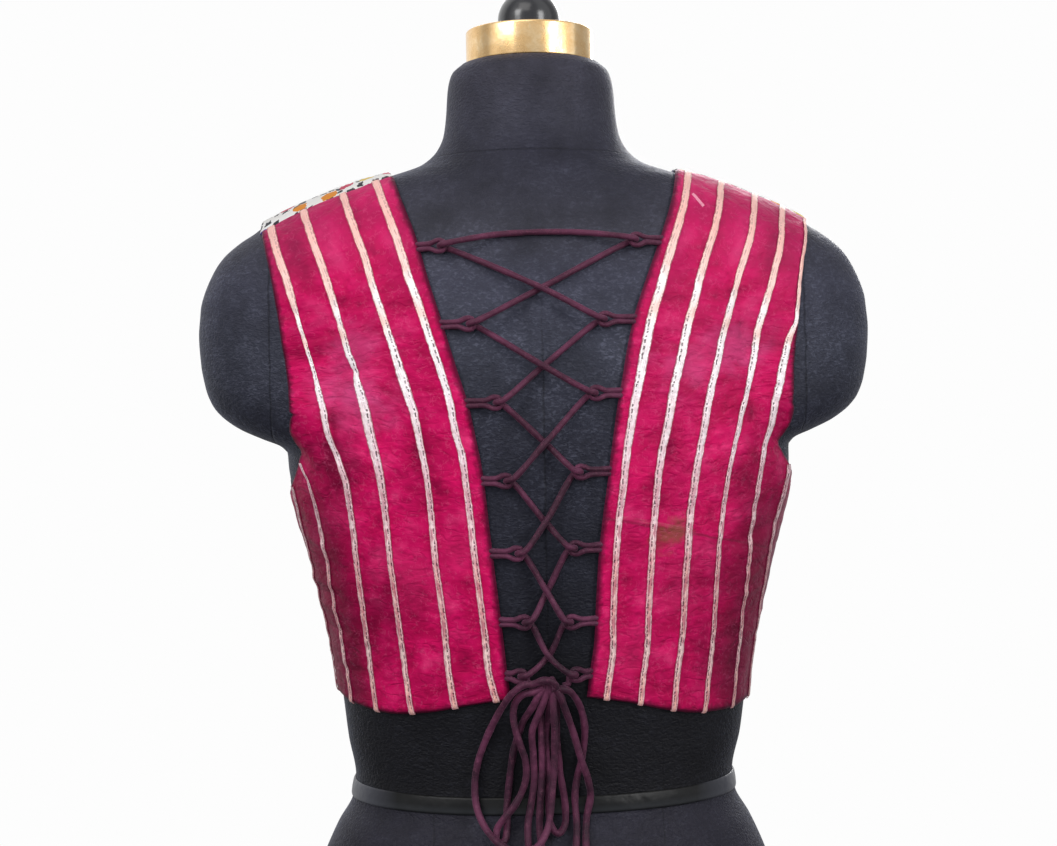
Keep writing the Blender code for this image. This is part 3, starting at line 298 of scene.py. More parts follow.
# x, height and layer of each point that a bow cord hangs through, from the knot on.
BOW_CORDS = {
    "bow_loop_large": (
        (4.4, 164.0, 2.5), (1.4, 168.0, 2.9), (-3.8, 168.6, 2.8), (-8.8, 166.4, 2.4), (-15.5, 165.4, 2.3),
        (-22.5, 160.4, 2.2), (-29.0, 150.6, 1.4), (-37.0, 134.3, 0.4), (-44.1, 115.1, 0.3),
        (-46.2, 99.9, 0.5), (-44.6, 86.0, 1.0), (-38.9, 75.4, 1.7), (-29.0, 67.6, 2.4), (-19.1, 65.0, 2.8),
        (-10.1, 67.6, 2.9), (-3.6, 75.2, 2.9), (-0.6, 84.8, 2.8), (0.6, 95.8, 2.7), (2.0, 108.0, 2.3),
        (2.8, 122.2, 2.2), (3.0, 137.5, 2.2), (2.6, 150.0, 2.2), (2.25, 158.2, 2.0),
    ),
    "bow_loop_left": (
        (-8.8, 161.0, 2.0), (-15.2, 159.6, 1.8), (-20.0, 154.8, 1.3), (-21.8, 148.0, 1.2),
        (-21.0, 138.0, 1.4), (-17.8, 127.2, 1.5), (-14.8, 117.3, 1.4), (-14.6, 107.4, 1.4),
        (-17.4, 98.4, 1.5), (-22.4, 89.8, 1.7), (-28.6, 82.6, 1.6), (-33.2, 75.4, 1.0), (-33.0, 68.2, 0.6),
        (-28.6, 68.6, 0.3), (-26.8, 77.0, 0.3), (-26.6, 88.0, 0.3), (-25.2, 100.0, 0.1),
        (-23.2, 115.1, 0.1), (-20.6, 127.0, 0.1), (-15.6, 141.7, 0.6), (-9.6, 152.0, 1.6),
        (-6.75, 158.2, 2.0),
    ),
    "bow_loop_centre": (
        (-2.25, 158.2, 2.0), (-4.8, 150.5, 1.8), (-10.4, 136.3, 1.5), (-9.9, 121.0, 1.4),
        (-9.7, 105.0, 1.4), (-11.6, 92.0, 1.5), (-14.2, 78.0, 1.4), (-13.8, 64.0, 1.0), (-11.4, 52.0, 0.6),
        (-7.2, 49.6, 0.4), (-5.6, 60.0, 0.5), (-7.0, 75.0, 1.2), (-6.2, 92.2, 1.6), (-4.6, 111.1, 1.3),
        (-4.6, 130.1, 1.2), (-5.0, 146.8, 0.7), (-4.6, 158.2, 1.0),
    ),
    "bow_loop_small": (
        (0.0, 158.2, 1.0), (0.2, 146.7, 0.7), (-1.6, 134.6, 0.1), (-1.4, 118.6, 0.1), (-0.6, 103.4, 0.3),
        (-0.8, 88.4, 0.6), (0.2, 77.4, 0.7), (4.4, 72.4, 0.6), (8.6, 76.8, 0.5), (9.4, 88.1, 0.5),
        (6.8, 108.0, 0.5), (4.8, 129.8, 0.7), (4.8, 146.0, 0.9), (4.6, 158.2, 1.0),
    ),
    "lace_end_over": (
        (6.75, 158.2, 2.0), (9.0, 152.0, 1.8), (15.0, 134.0, 1.4), (19.4, 117.8, 1.4), (23.2, 106.2, 1.2),
        (25.2, 94.8, 0.9), (22.4, 80.4, 0.6), (21.4, 65.8, 0.3), (22.0, 48.0, 0.1), (24.0, 32.0, 0.1),
        (24.5, 18.0, 0.1),
    ),
    "lace_end_under": (
        (8.8, 162.0, 1.9), (11.6, 161.4, 1.8), (14.8, 158.4, 1.5), (19.8, 149.0, 0.4), (22.4, 136.0, 0.1),
        (20.6, 117.7, 0.1), (17.6, 106.5, 0.1), (15.6, 93.0, 0.3), (16.2, 77.2, 0.4), (15.0, 62.0, 0.2),
        (13.2, 46.0, 0.1), (13.8, 33.0, 0.1),
    ),
}


# ================================================================ small tools


def smooth_column(rows, column):
    """A function of the first column that runs smoothly through another, with no overshoot."""
    xs = [row[0] for row in rows]
    ys = [getattr(row, column) for row in rows]
    steps = [b - a for a, b in zip(xs, xs[1:])]
    slopes = [(b - a) / step for a, b, step in zip(ys, ys[1:], steps)]
    inner = [0.0 if a * b <= 0 else 2 * a * b / (a + b) for a, b in zip(slopes, slopes[1:])]
    tangents = [slopes[0]] + inner + [slopes[-1]]

    def value(x):
        if x <= xs[0]:
            return ys[0]
        if x >= xs[-1]:
            return ys[-1]
        i, t = where(xs, x)
        start = ys[i] * (1 + 2 * t) * (1 - t) ** 2 + tangents[i] * steps[i] * t * (1 - t) ** 2
        end = ys[i + 1] * t * t * (3 - 2 * t) + tangents[i + 1] * steps[i] * t * t * (t - 1)
        return start + end
    return value


def lengths_along(points):
    """How far along a line each of its points is."""
    return [0.0, *accumulate((b - a).length for a, b in zip(points, points[1:]))]


def where(values, wanted):
    """Between which two of some growing values another lies: their index and a fraction."""
    i = max(0, min(bisect.bisect_right(values, wanted), len(values) - 1) - 1)
    return i, (wanted - values[i]) / (values[i + 1] - values[i])


def through_points(points, step):
    """A smooth curve through given points, read off at about one step apart."""
    ends = [points[0] * 2 - points[1]] + list(points) + [points[-1] * 2 - points[-2]]
    read = []
    for before, start, end, after in zip(ends, ends[1:], ends[2:], ends[3:]):
        span = (end - start).length
        count = max(1, round(span / step))
        knots = [0.0]
        for a, b in ((before, start), (start, end), (end, after)):
            knots.append(knots[-1] + max((b - a).length, 1e-6) ** 0.5)
        for i in range(count):
            t = knots[1] + (knots[2] - knots[1]) * i / count
            read.append(spline_point((before, start, end, after), knots, t))
    read.append(points[-1].copy())
    return read


def spline_point(points, knots, t):
    """A centripetal Catmull-Rom point between the second and the third of four points."""
    layer = list(points)
    for order in (1, 2):
        layer = [
            layer[i].lerp(layer[i + 1], (t - knots[i]) / (knots[i + order] - knots[i]))
            for i in range(len(layer) - 1)
        ]
    return layer[0].lerp(layer[1], (t - knots[1]) / (knots[2] - knots[1]))


def linear(colour):
    """A hex colour, sRGB, as linear red, green, blue and alpha."""
    channels = [int(colour[i:i + 2], 16) / 255 for i in (1, 3, 5)]
    return (*[c / 12.92 if c <= 0.04045 else ((c + 0.055) / 1.055) ** 2.4 for c in channels], 1.0)


def smooth_step(low, high, x):
    t = max(0.0, min(1.0, (x - low) / (high - low)))
    return t * t * (3 - 2 * t)


def deselect_all():
    bpy.ops.object.select_all(action="DESELECT")


def choose(obj):
    deselect_all()
    obj.select_set(True)
    bpy.context.view_layer.objects.active = obj


def placed_grid(name, columns, rows, place, uv):
    """A plane of columns by rows cells, with each point at its place and with its own UV."""
    deselect_all()
    bpy.ops.mesh.primitive_grid_add(x_subdivisions=columns, y_subdivisions=rows, size=2)
    obj = bpy.context.object
    obj.name = obj.data.name = name
    spots = [(round((vertex.co.x + 1) / 2 * columns), round((vertex.co.y + 1) / 2 * rows))
             for vertex in obj.data.vertices]
    for vertex, spot in zip(obj.data.vertices, spots):
        vertex.co = place(*spot)
    layer = obj.data.uv_layers.active.data
    for loop in obj.data.loops:
        layer[loop.index].uv = uv(*spots[loop.vertex_index])
    return obj


def name_new(name):
    """Names the piece just made, and makes its place and size its mesh's own."""
    obj = bpy.context.object
    obj.name = obj.data.name = name
    bpy.ops.object.transform_apply(location=True, rotation=True, scale=True)
    return obj


def in_edit_mode(obj, *steps, whole=True):
    """Runs mesh operators on the whole of a piece, or on what is selected of it."""
    choose(obj)
    bpy.ops.object.mode_set(mode="EDIT")
    if whole:
        bpy.ops.mesh.select_all(action="SELECT")
    for step in steps:
        step()
    bpy.ops.object.mode_set(mode="OBJECT")


def turn_outwards(obj, centre):
    """Turns a whole surface so that its faces look away from a centre."""
    away = sum((face.center - centre).normalized().dot(face.normal) for face in obj.data.polygons)
    if away < 0:
        in_edit_mode(obj, bpy.ops.mesh.flip_normals)


def finish_piece(obj, material, nodes, smooth_angle=40):
    """Applies a piece's modifiers, smooths it, gives it its material and hands it over."""
    choose(obj)
    for modifier in list(obj.modifiers):
        bpy.ops.object.modifier_apply(modifier=modifier.name)
    if obj.type == "MESH":
        bpy.ops.object.shade_smooth_by_angle(angle=math.radians(smooth_angle))
    obj.data.materials.clear()
    obj.data.materials.append(material)
    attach(obj, "root")
    if nodes:
        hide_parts(*nodes)
    return obj


# ================================================================ the form's skin

half_width = smooth_column(FORM_SECTIONS, "half_width")
back_depth = smooth_column(FORM_SECTIONS, "back")
front_depth = smooth_column(FORM_SECTIONS, "front")
squareness = smooth_column(FORM_SECTIONS, "squareness")
form_lean = smooth_column(FORM_LEAN, "shift")
cap_reach = smooth_column(ARM_CAP, "reach")


def skin(angle, height):
    """A point of the form's skin.  Angle 0 is the centre back, and it grows towards +X."""
    level = height / MM
    across, along = math.sin(angle), math.cos(angle)
    depth = back_depth(level) if along > 0 else front_depth(level)
    power = squareness(level)
    reach = (abs(across / half_width(level)) ** power + abs(along / depth) ** power) ** (-1 / power)
    turn = abs(math.atan2(across, along))
    from_side = (turn - math.pi / 2) / CAP_SPREAD
    if abs(from_side) < 1:
        reach += cap_reach(level) * (1 - from_side ** 2) ** CAP_ROUNDNESS
    from_bust = (turn - BUST.angle) / BUST.width
    above_bust = (level - BUST.height) / BUST.spread
    reach += BUST.rise * math.exp(-from_bust ** 2 - above_bust ** 2)
    return Vector(((reach * across + form_lean(level)) * MM, -reach * along * MM, height))


def even_steps(outline, step):
    """Places along an outline, about one step apart, as an index and a fraction in one."""
    lengths = lengths_along(outline)
    count = round(lengths[-1] / step)
    return [sum(where(lengths, lengths[-1] * k / count)) for k in range(count + 1)]


def skin_normal(angle, height):
    """The way that the skin faces, from its points a little to each side."""
    around = skin(angle + 0.01, height) - skin(angle - 0.01, height)
    upward = skin(angle, height + MM) - skin(angle, height - MM)
    return around.cross(upward).normalized()


def skin_at(angle, height):
    return skin(angle, height), skin_normal(angle, height)


def skin_tree():
    """The skin as a fine mesh, for finding where a line meets it."""
    columns, rows = 288, 380
    points = [skin(2 * math.pi * j / columns, FORM_TOP * i / (rows - 1))
              for i in range(rows) for j in range(columns)]
    faces = [(i * columns + j, i * columns + (j + 1) % columns,
              (i + 1) * columns + (j + 1) % columns, (i + 1) * columns + j)
             for i in range(rows - 1) for j in range(columns)]
    return BVHTree.FromPolygons(points, faces)


SKIN = skin_tree()


def on_skin(start, towards):
    """The point and normal of the skin where a line from a start meets it, or None."""
    point = SKIN.ray_cast(start, towards)[0]
    return point and skin_at(skin_angle(point), point.z)


def skin_angle(point):
    """The angle that the skin's point with this place has."""
    return math.atan2(point.x - form_lean(point.z / MM) * MM, -point.y)


def on_back(x, height, rise):
    """The point with this x and height that is this far above the form's back."""
    point, normal = on_skin(Vector((x, -1, height)), Vector((0, 1, 0)))
    return Vector((x, point.y - rise / max(-normal.y, STEEPEST), height))


# ================================================================ the panels

EDGE_COLUMNS = (0.0, 0.5, 1.0, 1.6)   # distances from an edge that the cloth is drawn at there
ROW_STEP = 2.0                        # between rows, in levels
COLUMN_STEP = 1.9                     # between columns, in millimetres, where a row is longest


def row_curve(level, side, face):
    """The skin along one row, outwards from the centre line, as points and normals."""
    found = []
    if level <= PIVOT:
        for degrees in ROW_SWEEP:
            turn = math.radians(degrees)
            towards = Vector((side * math.sin(turn), face * math.cos(turn), 0))
            found.append(on_skin(Vector((0, 0, level * MM)), towards))
    else:
        swing = (level - PIVOT) / SWING
        towards = Vector((0, face * math.cos(swing), math.sin(swing)))
        for out in ROW_REACH:
            hit = on_skin(Vector((side * out * MM, 0, PIVOT * MM)), towards)
            if hit:
                found.append(hit)
    return found


def place_on(curve, measure, value):
    """Where a row first reaches a value of some measure, as index and fraction."""
    for i in range(len(curve) - 1):
        low, high = measure(curve[i][0]), measure(curve[i + 1][0])
        if low <= value <= high and high > low:
            return i + (value - low) / (high - low)
    return float(len(curve) - 1)


def point_at(curve, place):
    i = min(int(place), len(curve) - 2)
    part = place - i
    return curve[i][0].lerp(curve[i + 1][0], part), curve[i][1].lerp(curve[i + 1][1], part).normalized()


def fold_height(folds, level, distance):
    """How far a list of folds lifts the cloth at one place, in millimetres."""
    height = 0.0
    for fold in folds:
        up, out = level - fold.level, distance - fold.distance
        if abs(up) + abs(out) > 2.6 * (fold.length + fold.width):
            continue
        slant = math.radians(fold.slant)
        along = up * math.cos(slant) + out * math.sin(slant)
        across = out * math.cos(slant) - up * math.sin(slant)
        height += fold.height * math.exp(-(along / fold.length) ** 2 - (across / fold.width) ** 2)
    return height


def grid_normals(rows, turn):
    """The outward normal at each point of a grid, from its neighbours."""
    normals = []
    last_row, last = len(rows) - 1, len(rows[0]) - 1
    for i, row in enumerate(rows):
        line = []
        for j in range(len(row)):
            up = rows[min(i + 1, last_row)][j] - rows[max(i - 1, 0)][j]
            out = row[min(j + 1, last)] - row[max(j - 1, 0)]
            line.append((up.cross(out) * turn).normalized())
        normals.append(line)
    return normals


class Panel:
    """A grid of points on the cloth's outer face, from the hem up to the shoulder seam.

    Each row runs from the inner edge out to the side seam or the armhole.  distances
    holds how far each point is from the inner edge along its row, in millimetres.
    """

    def __init__(self, side, face, levels, columns, inner, outer_below, outer_above, hem, folds, ripple,
                 open_inside=True):
        self.side, self.face, self.columns = side, face, columns
        name = SIDE_NAMES[side]
        self.inner = smooth_column(inner, name)
        self.outer_below = smooth_column(outer_below, name)
        self.outer_above = smooth_column(outer_above, name)
        self.hem = smooth_column(hem, name)
        self.folds, self.ripple, self.open_inside = folds, ripple, open_inside
        self.levels = levels
        self.rows, self.distances = [], []
        for level in levels:
            self.add_row(level)
        self.normals = grid_normals(self.rows, side * face)

    def ends(self, curve, level):
        """Where the row starts and ends on its curve."""
        start = place_on(curve, lambda p: abs(p.x), max(self.inner(level), 0.001) * MM)
        if level > PIVOT:
            return start, place_on(curve, lambda p: abs(p.x), self.outer_above(level) * MM)
        short = self.outer_below(level) * MM + SEAM_GAP / 2
        return start, place_on(curve, lambda p: -p.y * self.face, -short)

    def add_row(self, level):
        curve = row_curve(level, self.side, self.face)
        start, end = self.ends(curve, level)
        reading = (end - start) / ROW_READINGS
        walk = [point_at(curve, start + reading * k)[0] for k in range(ROW_READINGS + 1)]
        lengths = lengths_along(walk)
        whole = lengths[-1] / MM
        near, far = EDGE_COLUMNS[-1], whole - EDGE_COLUMNS[-1]
        inner_count = self.columns - 2 * (len(EDGE_COLUMNS) - 1)
        middle = [near + (far - near) * k / inner_count for k in range(1, inner_count)]
        distances = [*EDGE_COLUMNS, *middle, *[whole - edge for edge in reversed(EDGE_COLUMNS)]]
        row = []
        for distance in distances:
            point, normal = point_at(curve, start + reading * sum(where(lengths, distance * MM)))
            point, normal = self.follow_hem(point, normal, level, distance)
            rise = CLOTH_RISE / MM + fold_height(self.folds, level, distance)
            rise += self.ripple(self.side, level, distance) - self.edge_drop(level, distance, whole)
            row.append(point + normal * rise * MM)
        self.rows.append(row)
        self.distances.append(distances)

    def edge_drop(self, level, distance, whole):
        """The cloth turns down at its edges, where it is folded under and sewn."""
        inner = distance if self.open_inside or level > NECKLINE[0].level else EDGE_ROLL
        nearest = min(inner, whole - distance, level - HEM_LEVEL)
        return EDGE_DROP * (1 - smooth_step(0, EDGE_ROLL, nearest)) ** 1.5

    def follow_hem(self, point, normal, level, distance):
        """Near the hem, a row takes on the hem's own rise and fall."""
        fade = 1 - (level - HEM_LEVEL) / HEM_FADE
        if fade <= 0:
            return point, normal
        height = point.z + (self.hem(distance) - HEM_LEVEL) * fade ** 2 * MM
        return skin_at(skin_angle(point), height)

    def above(self, row, distance, rise):
        """A point this far above the panel's outer face."""
        found = []
        for i in (int(row), min(int(row) + 1, len(self.rows) - 1)):
            j, part = where(self.distances[i], distance)
            base = self.rows[i][j].lerp(self.rows[i][j + 1], part)
            found.append(base + self.normals[i][j].lerp(self.normals[i][j + 1], part) * rise)
        return found[0].lerp(found[1], row - int(row))


def silk_ripple(side, level, distance):
    """Fine creases of worn silk: short wavering ones across, stronger low and at the side."""
    low = smooth_step(330, 200, level) * smooth_step(30, 120, distance)
    seed = 11.0 * side
    slow = noise.noise(Vector((distance / 30, level / 7, seed)))
    slower = noise.noise(Vector((distance / 24, level / 20, seed + 3)))
    fine = noise.noise(Vector((distance / 5.5, level / 4.5, seed + 7)))
    ridge = 1 - abs(noise.noise(Vector((distance / 11 + 0.5 * slow, level / 9, seed + 5)))) * 2
    return slow * (0.22 + 0.4 * low) + 0.32 * slower + 0.10 * fine + 0.22 * max(0.0, ridge) ** 3


def cotton_ripple(side, level, distance):
    """A smoother, crisper cloth, with long soft creases."""
    seed = 29.0 * side * min(1.0, distance / 40)
    slow = noise.noise(Vector((distance / 22, level / 26, seed)))
    fine = noise.noise(Vector((distance / 7, level / 9, seed + 7)))
    return 0.4 * slow + 0.10 * fine


def row_levels(top):
    """Levels from the hem up, with close ones at the hem for its rolled edge."""
    count = round((top - HEM_LEVEL - EDGE_COLUMNS[-1]) / ROW_STEP)
    start = HEM_LEVEL + EDGE_COLUMNS[-1]
    return [HEM_LEVEL + edge for edge in EDGE_COLUMNS] + [
        start + (top - start) * k / count for k in range(1, count + 1)]


def back_panel(side):
    columns = round(165 / COLUMN_STEP)
    return Panel(side, BACK, row_levels(SHOULDER_LEVEL[side]), columns, BACK_OPENING, BACK_OUTER_BELOW,
                 BACK_OUTER_ABOVE, BACK_HEM, BACK_FOLDS[side], silk_ripple)


def front_half(side):
    """Half the front, whose strap runs over the shoulder to the back panel's seam."""
    over = PIVOT + SWING * math.pi - (SHOULDER_LEVEL[side] - PIVOT) - SEAM_GAP / MM
    columns = round(200 / COLUMN_STEP)
    return Panel(side, FRONT, row_levels(over), columns, NECKLINE, FRONT_OUTER_BELOW,
                 FRONT_OUTER_ABOVE, FRONT_HEM, FRONT_FOLDS[side], cotton_ripple, open_inside=False)


def panel_mesh(name, panel):
    """The panel's outer face as a grid.  Its UV is the distance and the level, in metres.

    On the front the distance is from the middle, so that the print runs on across it.
    """
    def laid_flat(column, row):
        across = panel.distances[row][column]
        if panel.face == FRONT:
            across = panel.side * (across + panel.inner(panel.levels[row]))
        return across * MM, (panel.levels[row] - HEM_LEVEL) * MM

    obj = placed_grid(name, panel.columns, len(panel.rows) - 1,
                      lambda column, row: panel.rows[row][column], laid_flat)
    edges = obj.data.attributes.new("edge_distance", "FLOAT", "POINT")
    for vertex in range(len(obj.data.vertices)):
        row, column = divmod(vertex, panel.columns + 1)
        distance, whole = panel.distances[row][column], panel.distances[row][-1]
        inner = distance if panel.open_inside or panel.levels[row] > NECKLINE[0].level else whole
        edges.data[vertex].value = MM * min(inner, whole - distance, panel.levels[row] - HEM_LEVEL)
    turn_outwards(obj, MIDDLE)
    return obj


def add_shell(obj, wall):
    """Gives a surface its wall, inwards from the face that shows."""
    shell = obj.modifiers.new("wall", "SOLIDIFY")
    shell.thickness = wall
    shell.offset = -1


def add_back(panel, material):
    name = f"silk_back_{SIDE_NAMES[panel.side]}"
    cloth = panel_mesh(name, panel)
    add_shell(cloth, CLOTH_WALL)
    return finish_piece(cloth, material, [f"back_panel_{SIDE_NAMES[panel.side]}"], 60)


def add_front(halves, material):
    """The front in one piece: two half grids, joined down the centre."""
    pieces = [panel_mesh(f"front_{SIDE_NAMES[half.side]}", half) for half in halves]
    choose(pieces[0])
    pieces[1].select_set(True)
    bpy.ops.object.join()
    cloth = bpy.context.object
    cloth.name = cloth.data.name = "printed_front"
    in_edit_mode(cloth, lambda: bpy.ops.mesh.remove_doubles(threshold=2 * MERGE))
    add_shell(cloth, CLOTH_WALL)
    return finish_piece(cloth, material, ["front_panel"], 60)


# ================================================================ the ribbons

Station = namedtuple("Station", "row distance")
RIBBON_ACROSS = 8             # cells across a ribbon
RIBBON_SWAY, RIBBON_WAVER, RIBBON_CROWN = 0.35, 0.42, 0.30      # in millimetres

# Where the stitches gather a ribbon, or it turns over the edge: its share of its width by
# level, and which border keeps its place, -1 the inner one, 1 the outer one.
Gather = namedtuple("Gather", "keep widths")
GATHERS = {
    "left_a": Gather(0, ((146, 0.79), (250, 0.76), (330, 0.85), (475, 0.95))),
    "left_b": Gather(0, ((146, 0.77), (300, 0.73), (360, 1.15), (395, 0.85), (475, 0.9))),
    "left_c": Gather(0, ((146, 0.71), (250, 0.73), (330, 1.2), (350, 1.15), (368, 0.72), (388, 0.8),
                         (475, 0.95))),
    "left_d": Gather(0, ((146, 0.69), (290, 0.82), (330, 0.85), (360, 0.7), (380, 0.46), (425, 0.5),
                         (440, 0.85), (475, 1.0))),
    "left_e": Gather(0, ((146, 0.69), (230, 0.65), (270, 0.77), (290, 0.47), (310, 0.5))),
    "right_a": Gather(0, ((146, 0.73), (250, 0.76), (380, 1.1), (475, 0.9))),
    "right_b": Gather(0, ((146, 0.69), (280, 0.82), (350, 1.05), (475, 0.85))),
    "right_c": Gather(0, ((146, 0.71), (330, 0.92), (475, 0.85))),
    "right_d": Gather(0, ((146, 0.69), (300, 0.62), (330, 0.7), (365, 0.9), (475, 0.8))),
    "right_e": Gather(1, ((146, 0.6), (300, 0.73), (340, 0.9), (375, 0.95), (405, 0.8), (425, 0.45),
                          (475, 0.38))),
}


def ribbon_stations(panel, line):
    """Where a ribbon's middle lies on each row, up to the row where it meets the armhole."""
    distance_at = smooth_column(table("level distance", *zip(RIBBON_LEVELS, line.distances)), "distance")
    edge_room = RIBBON_WIDTH / 2 + RIBBON_INSET
    stations = []
    for i, level in enumerate(panel.levels):
        distance = distance_at(level)
        room = panel.distances[i][-1] - edge_room - distance
        if room < 0 and not line.follows:
            part = last_room / (last_room - room)
            stations.append(Station(i - 1 + part, stations[-1].distance * (1 - part) + distance * part))
            break
        stations.append(Station(i, distance + min(room, 0)))
        last_room = room
    return stations


def add_ribbon(panel, line, material):
    """A woven ribbon sewn along a panel: made from the panel's points and moved out.

    Its edges waver by a few tenths of a millimetre, where the stitches draw it in, and it
    bellies out a little between them.
    """
    stations = ribbon_stations(panel, line)
    turn = ord(line.name) * 3.7 + panel.side * 17.3
    name = f"{SIDE_NAMES[panel.side]}_{line.name}"
    gather = GATHERS.get(name, Gather(0, ((146, 0.80), (240, 0.80), (300, 0.87), (475, 0.87))))
    share_at = smooth_column(table("level share", *gather.widths), "share")

    def level_of(row):
        low = int(stations[row].row)
        part = stations[row].row - low
        high = min(low + 1, len(panel.levels) - 1)
        return panel.levels[low] * (1 - part) + panel.levels[high] * part

    def place(column, row):
        across = column / RIBBON_ACROSS * 2 - 1
        level = level_of(row)
        sway = RIBBON_SWAY * noise.noise(Vector((level / 28, turn, 0.0)))
        waver = RIBBON_WAVER * noise.noise(Vector((level / 5, turn, 5.0 * (across > 0))))
        half = RIBBON_WIDTH / 2 * share_at(level)
        out = across * (half + waver * abs(across)) + sway + gather.keep * (RIBBON_WIDTH / 2 - half)
        crown = RIBBON_CROWN * (1 - across ** 2) * (0.6 + noise.noise(Vector((level / 5, turn, 9.0))))
        return panel.above(stations[row].row, stations[row].distance + out,
                           RIBBON_LIFT + max(0.0, crown) * MM)

    ribbon = placed_grid(
        "foil_ribbon_" + name, RIBBON_ACROSS, len(stations) - 1, place,
        lambda column, row: (column / RIBBON_ACROSS * RIBBON_WIDTH * MM,
                             (level_of(row) - HEM_LEVEL) * MM))
    turn_outwards(ribbon, MIDDLE)
    add_shell(ribbon, RIBBON_WALL)
    return finish_piece(ribbon, material, ["ribbon_" + name], 60)


# ================================================================ loops, lace and bow

CORD_STEP = 1.5 * MM          # between a cord's points
CORD_UNEVEN = 0.16            # how far a cord's thickness varies, as a part of it


def add_cord(name, points, diameter, material, nodes, seed):
    """A cord as a smooth tube.  It is a little thicker and thinner along its length."""
    curve = bpy.data.curves.new(name, "CURVE")
    curve.dimensions = "3D"
    curve.bevel_depth = diameter / 2
    curve.bevel_resolution = 5
    curve.use_fill_caps = True
    spline = curve.splines.new("POLY")
    spline.points.add(len(points) - 1)
    spline.use_smooth = True
    for i, point in enumerate(points):
        spline.points[i].co = (*point, 1)
        spline.points[i].radius = 1 + CORD_UNEVEN * noise.noise(Vector((i / 7, seed, 0.0)))
    obj = bpy.data.objects.new(name, curve)
    bpy.context.scene.collection.objects.link(obj)
    return finish_piece(obj, material, nodes)


def laid_on_back(route, step):
    """A smooth cord route over the back, from points of x, height and rise."""
    return [on_back(x, height, max(rise, LACE_REST)) for x, height, rise in through_points(route, step)]


def edge_point(panel, height):
    """The middle of the cloth's edge at the opening, at this height."""
    edge = [row[0] for row in panel.rows]
    for low, high in zip(edge, edge[1:]):
        if low.z <= height <= high.z:
            return low.lerp(high, (height - low.z) / (high.z - low.z))
    return edge[0] if height < edge[0].z else edge[-1]


def add_edge_loop(name, loop, panel, material):
    """A thin cord loop on the opening's edge, with a round eye for the lace."""
    height = loop.height * MM
    eye_x = loop.tip * MM
    root_rise = CLOTH_RISE - EDGE_DROP * MM - CLOTH_WALL / 2
    roots = [
        (abs(edge_point(panel, height + up).x) + 1.2 * MM - eye_x, up)
        for up in (LOOP_HALF_GAP, -LOOP_HALF_GAP)
    ]
    eye = [
        (LOOP_HOLE * math.cos(math.radians(turn)), LOOP_HOLE * math.sin(math.radians(turn)))
        for turn in LOOP_EYE_TURNS
    ]
    outline = [roots[0], (LOOP_NECK, LOOP_HALF_GAP)] + eye + [(LOOP_NECK, -LOOP_HALF_GAP), roots[1]]
    points = []
    for out, up in outline:
        part = max(0.0, min(1.0, 1 - (out - LOOP_HOLE) / max(roots[0][0] - LOOP_HOLE, MM)))
        rise = root_rise + (LOOP_RISE - root_rise) * part
        points.append(on_back(loop.side * (eye_x + out), height + up, rise))
    return add_cord("eye_" + name, through_points(points, CORD_STEP), LOOP_DIAMETER, material, [name],
                    loop.height)


def through_eye(loop):
    """The lace's way through a loop's eye: over its tip, down and out behind it."""
    over = LOOP_RISE + (LACE_DIAMETER + LOOP_DIAMETER) / 2 + 0.5 * MM
    under = LOOP_RISE - (LACE_DIAMETER + LOOP_DIAMETER) / 2 - 0.5 * MM
    bend = ((LOOP_HOLE, 1.0, over), (0.7 * MM, 0.4, LOOP_RISE + 2.5 * MM), (0.1 * MM, 0.0, LOOP_RISE),
            (0.7 * MM, -0.4, LOOP_RISE - 2.5 * MM), (LOOP_HOLE, -1.0, under))
    eye = loop.tip * MM
    return [Vector((loop.side * (eye - inward), (loop.height + up) * MM, rise))
            for inward, up, rise in bend]


def lace_start(loop):
    """Both halves of the lace meet in the top left loop's eye: the ways in and out of it."""
    way = through_eye(loop)
    apart = Vector((0, 0, 2.5 * SEAM_GAP))
    return {"right": [way[2] + apart, way[1], way[0]], "left": [way[2] - apart, way[3], way[4]]}


def lace_route(half):
    """The points of one half of the lace, as x, height and rise, down to the knot."""
    rows = [EDGE_LOOPS[i:i + 2] for i in range(0, len(EDGE_LOOPS), 2)]
    route = lace_start(rows[0][0])[half]
    if half == "right":
        route += [Vector((x * MM, height * MM, rise * MM)) for x, height, rise in TOP_BAR]
        route += through_eye(rows[0][1])
    side = RIGHT if half == "left" else LEFT
    for crossing, row in zip(CROSSINGS, rows[1:]):
        rise = LACE_REST + (LAYER if crossing.over == half else 0)
        route.append(Vector((crossing.x * MM, crossing.height * MM, rise)))
        route += through_eye(row[0 if side == LEFT else 1])
        side = -side
    route += [Vector((-side * (KNOT_SIZE.x / 2 + out * MM), KNOT_HEIGHT + up * MM, KNOT_RISE + rise * MM))
              for out, up, rise in KNOT_ENTRY]
    return route


def add_lace(material):
    """Both halves of the lace, from the top left eye down to the knot."""
    for half in ("left", "right"):
        points = laid_on_back(lace_route(half), CORD_STEP)
        lace = add_cord(f"cord_lace_{half}", points, LACE_DIAMETER, material, [f"lace_{half}"], 3.0)
        lengths_along(points)[-1]


def add_bow(material):
    """The bow's loops and the lace's two free ends, which hang from the knot."""
    for seed, (name, rows) in enumerate(BOW_CORDS.items()):
        inside = [(x * 0.4, KNOT_HEIGHT / MM, layer) for x, height, layer in (rows[0], rows[-1])]
        ways = [inside[0], *rows] + ([inside[1]] if "loop" in name else [])
        route = [Vector((x * MM, height * MM, LACE_REST + LAYER * layer)) for x, height, layer in ways]
        points = laid_on_back(route, CORD_STEP)
        cord = add_cord("cord_" + name, points, BOW_DIAMETER, material, [name], 20.0 + seed)
        lengths_along(points)[-1]


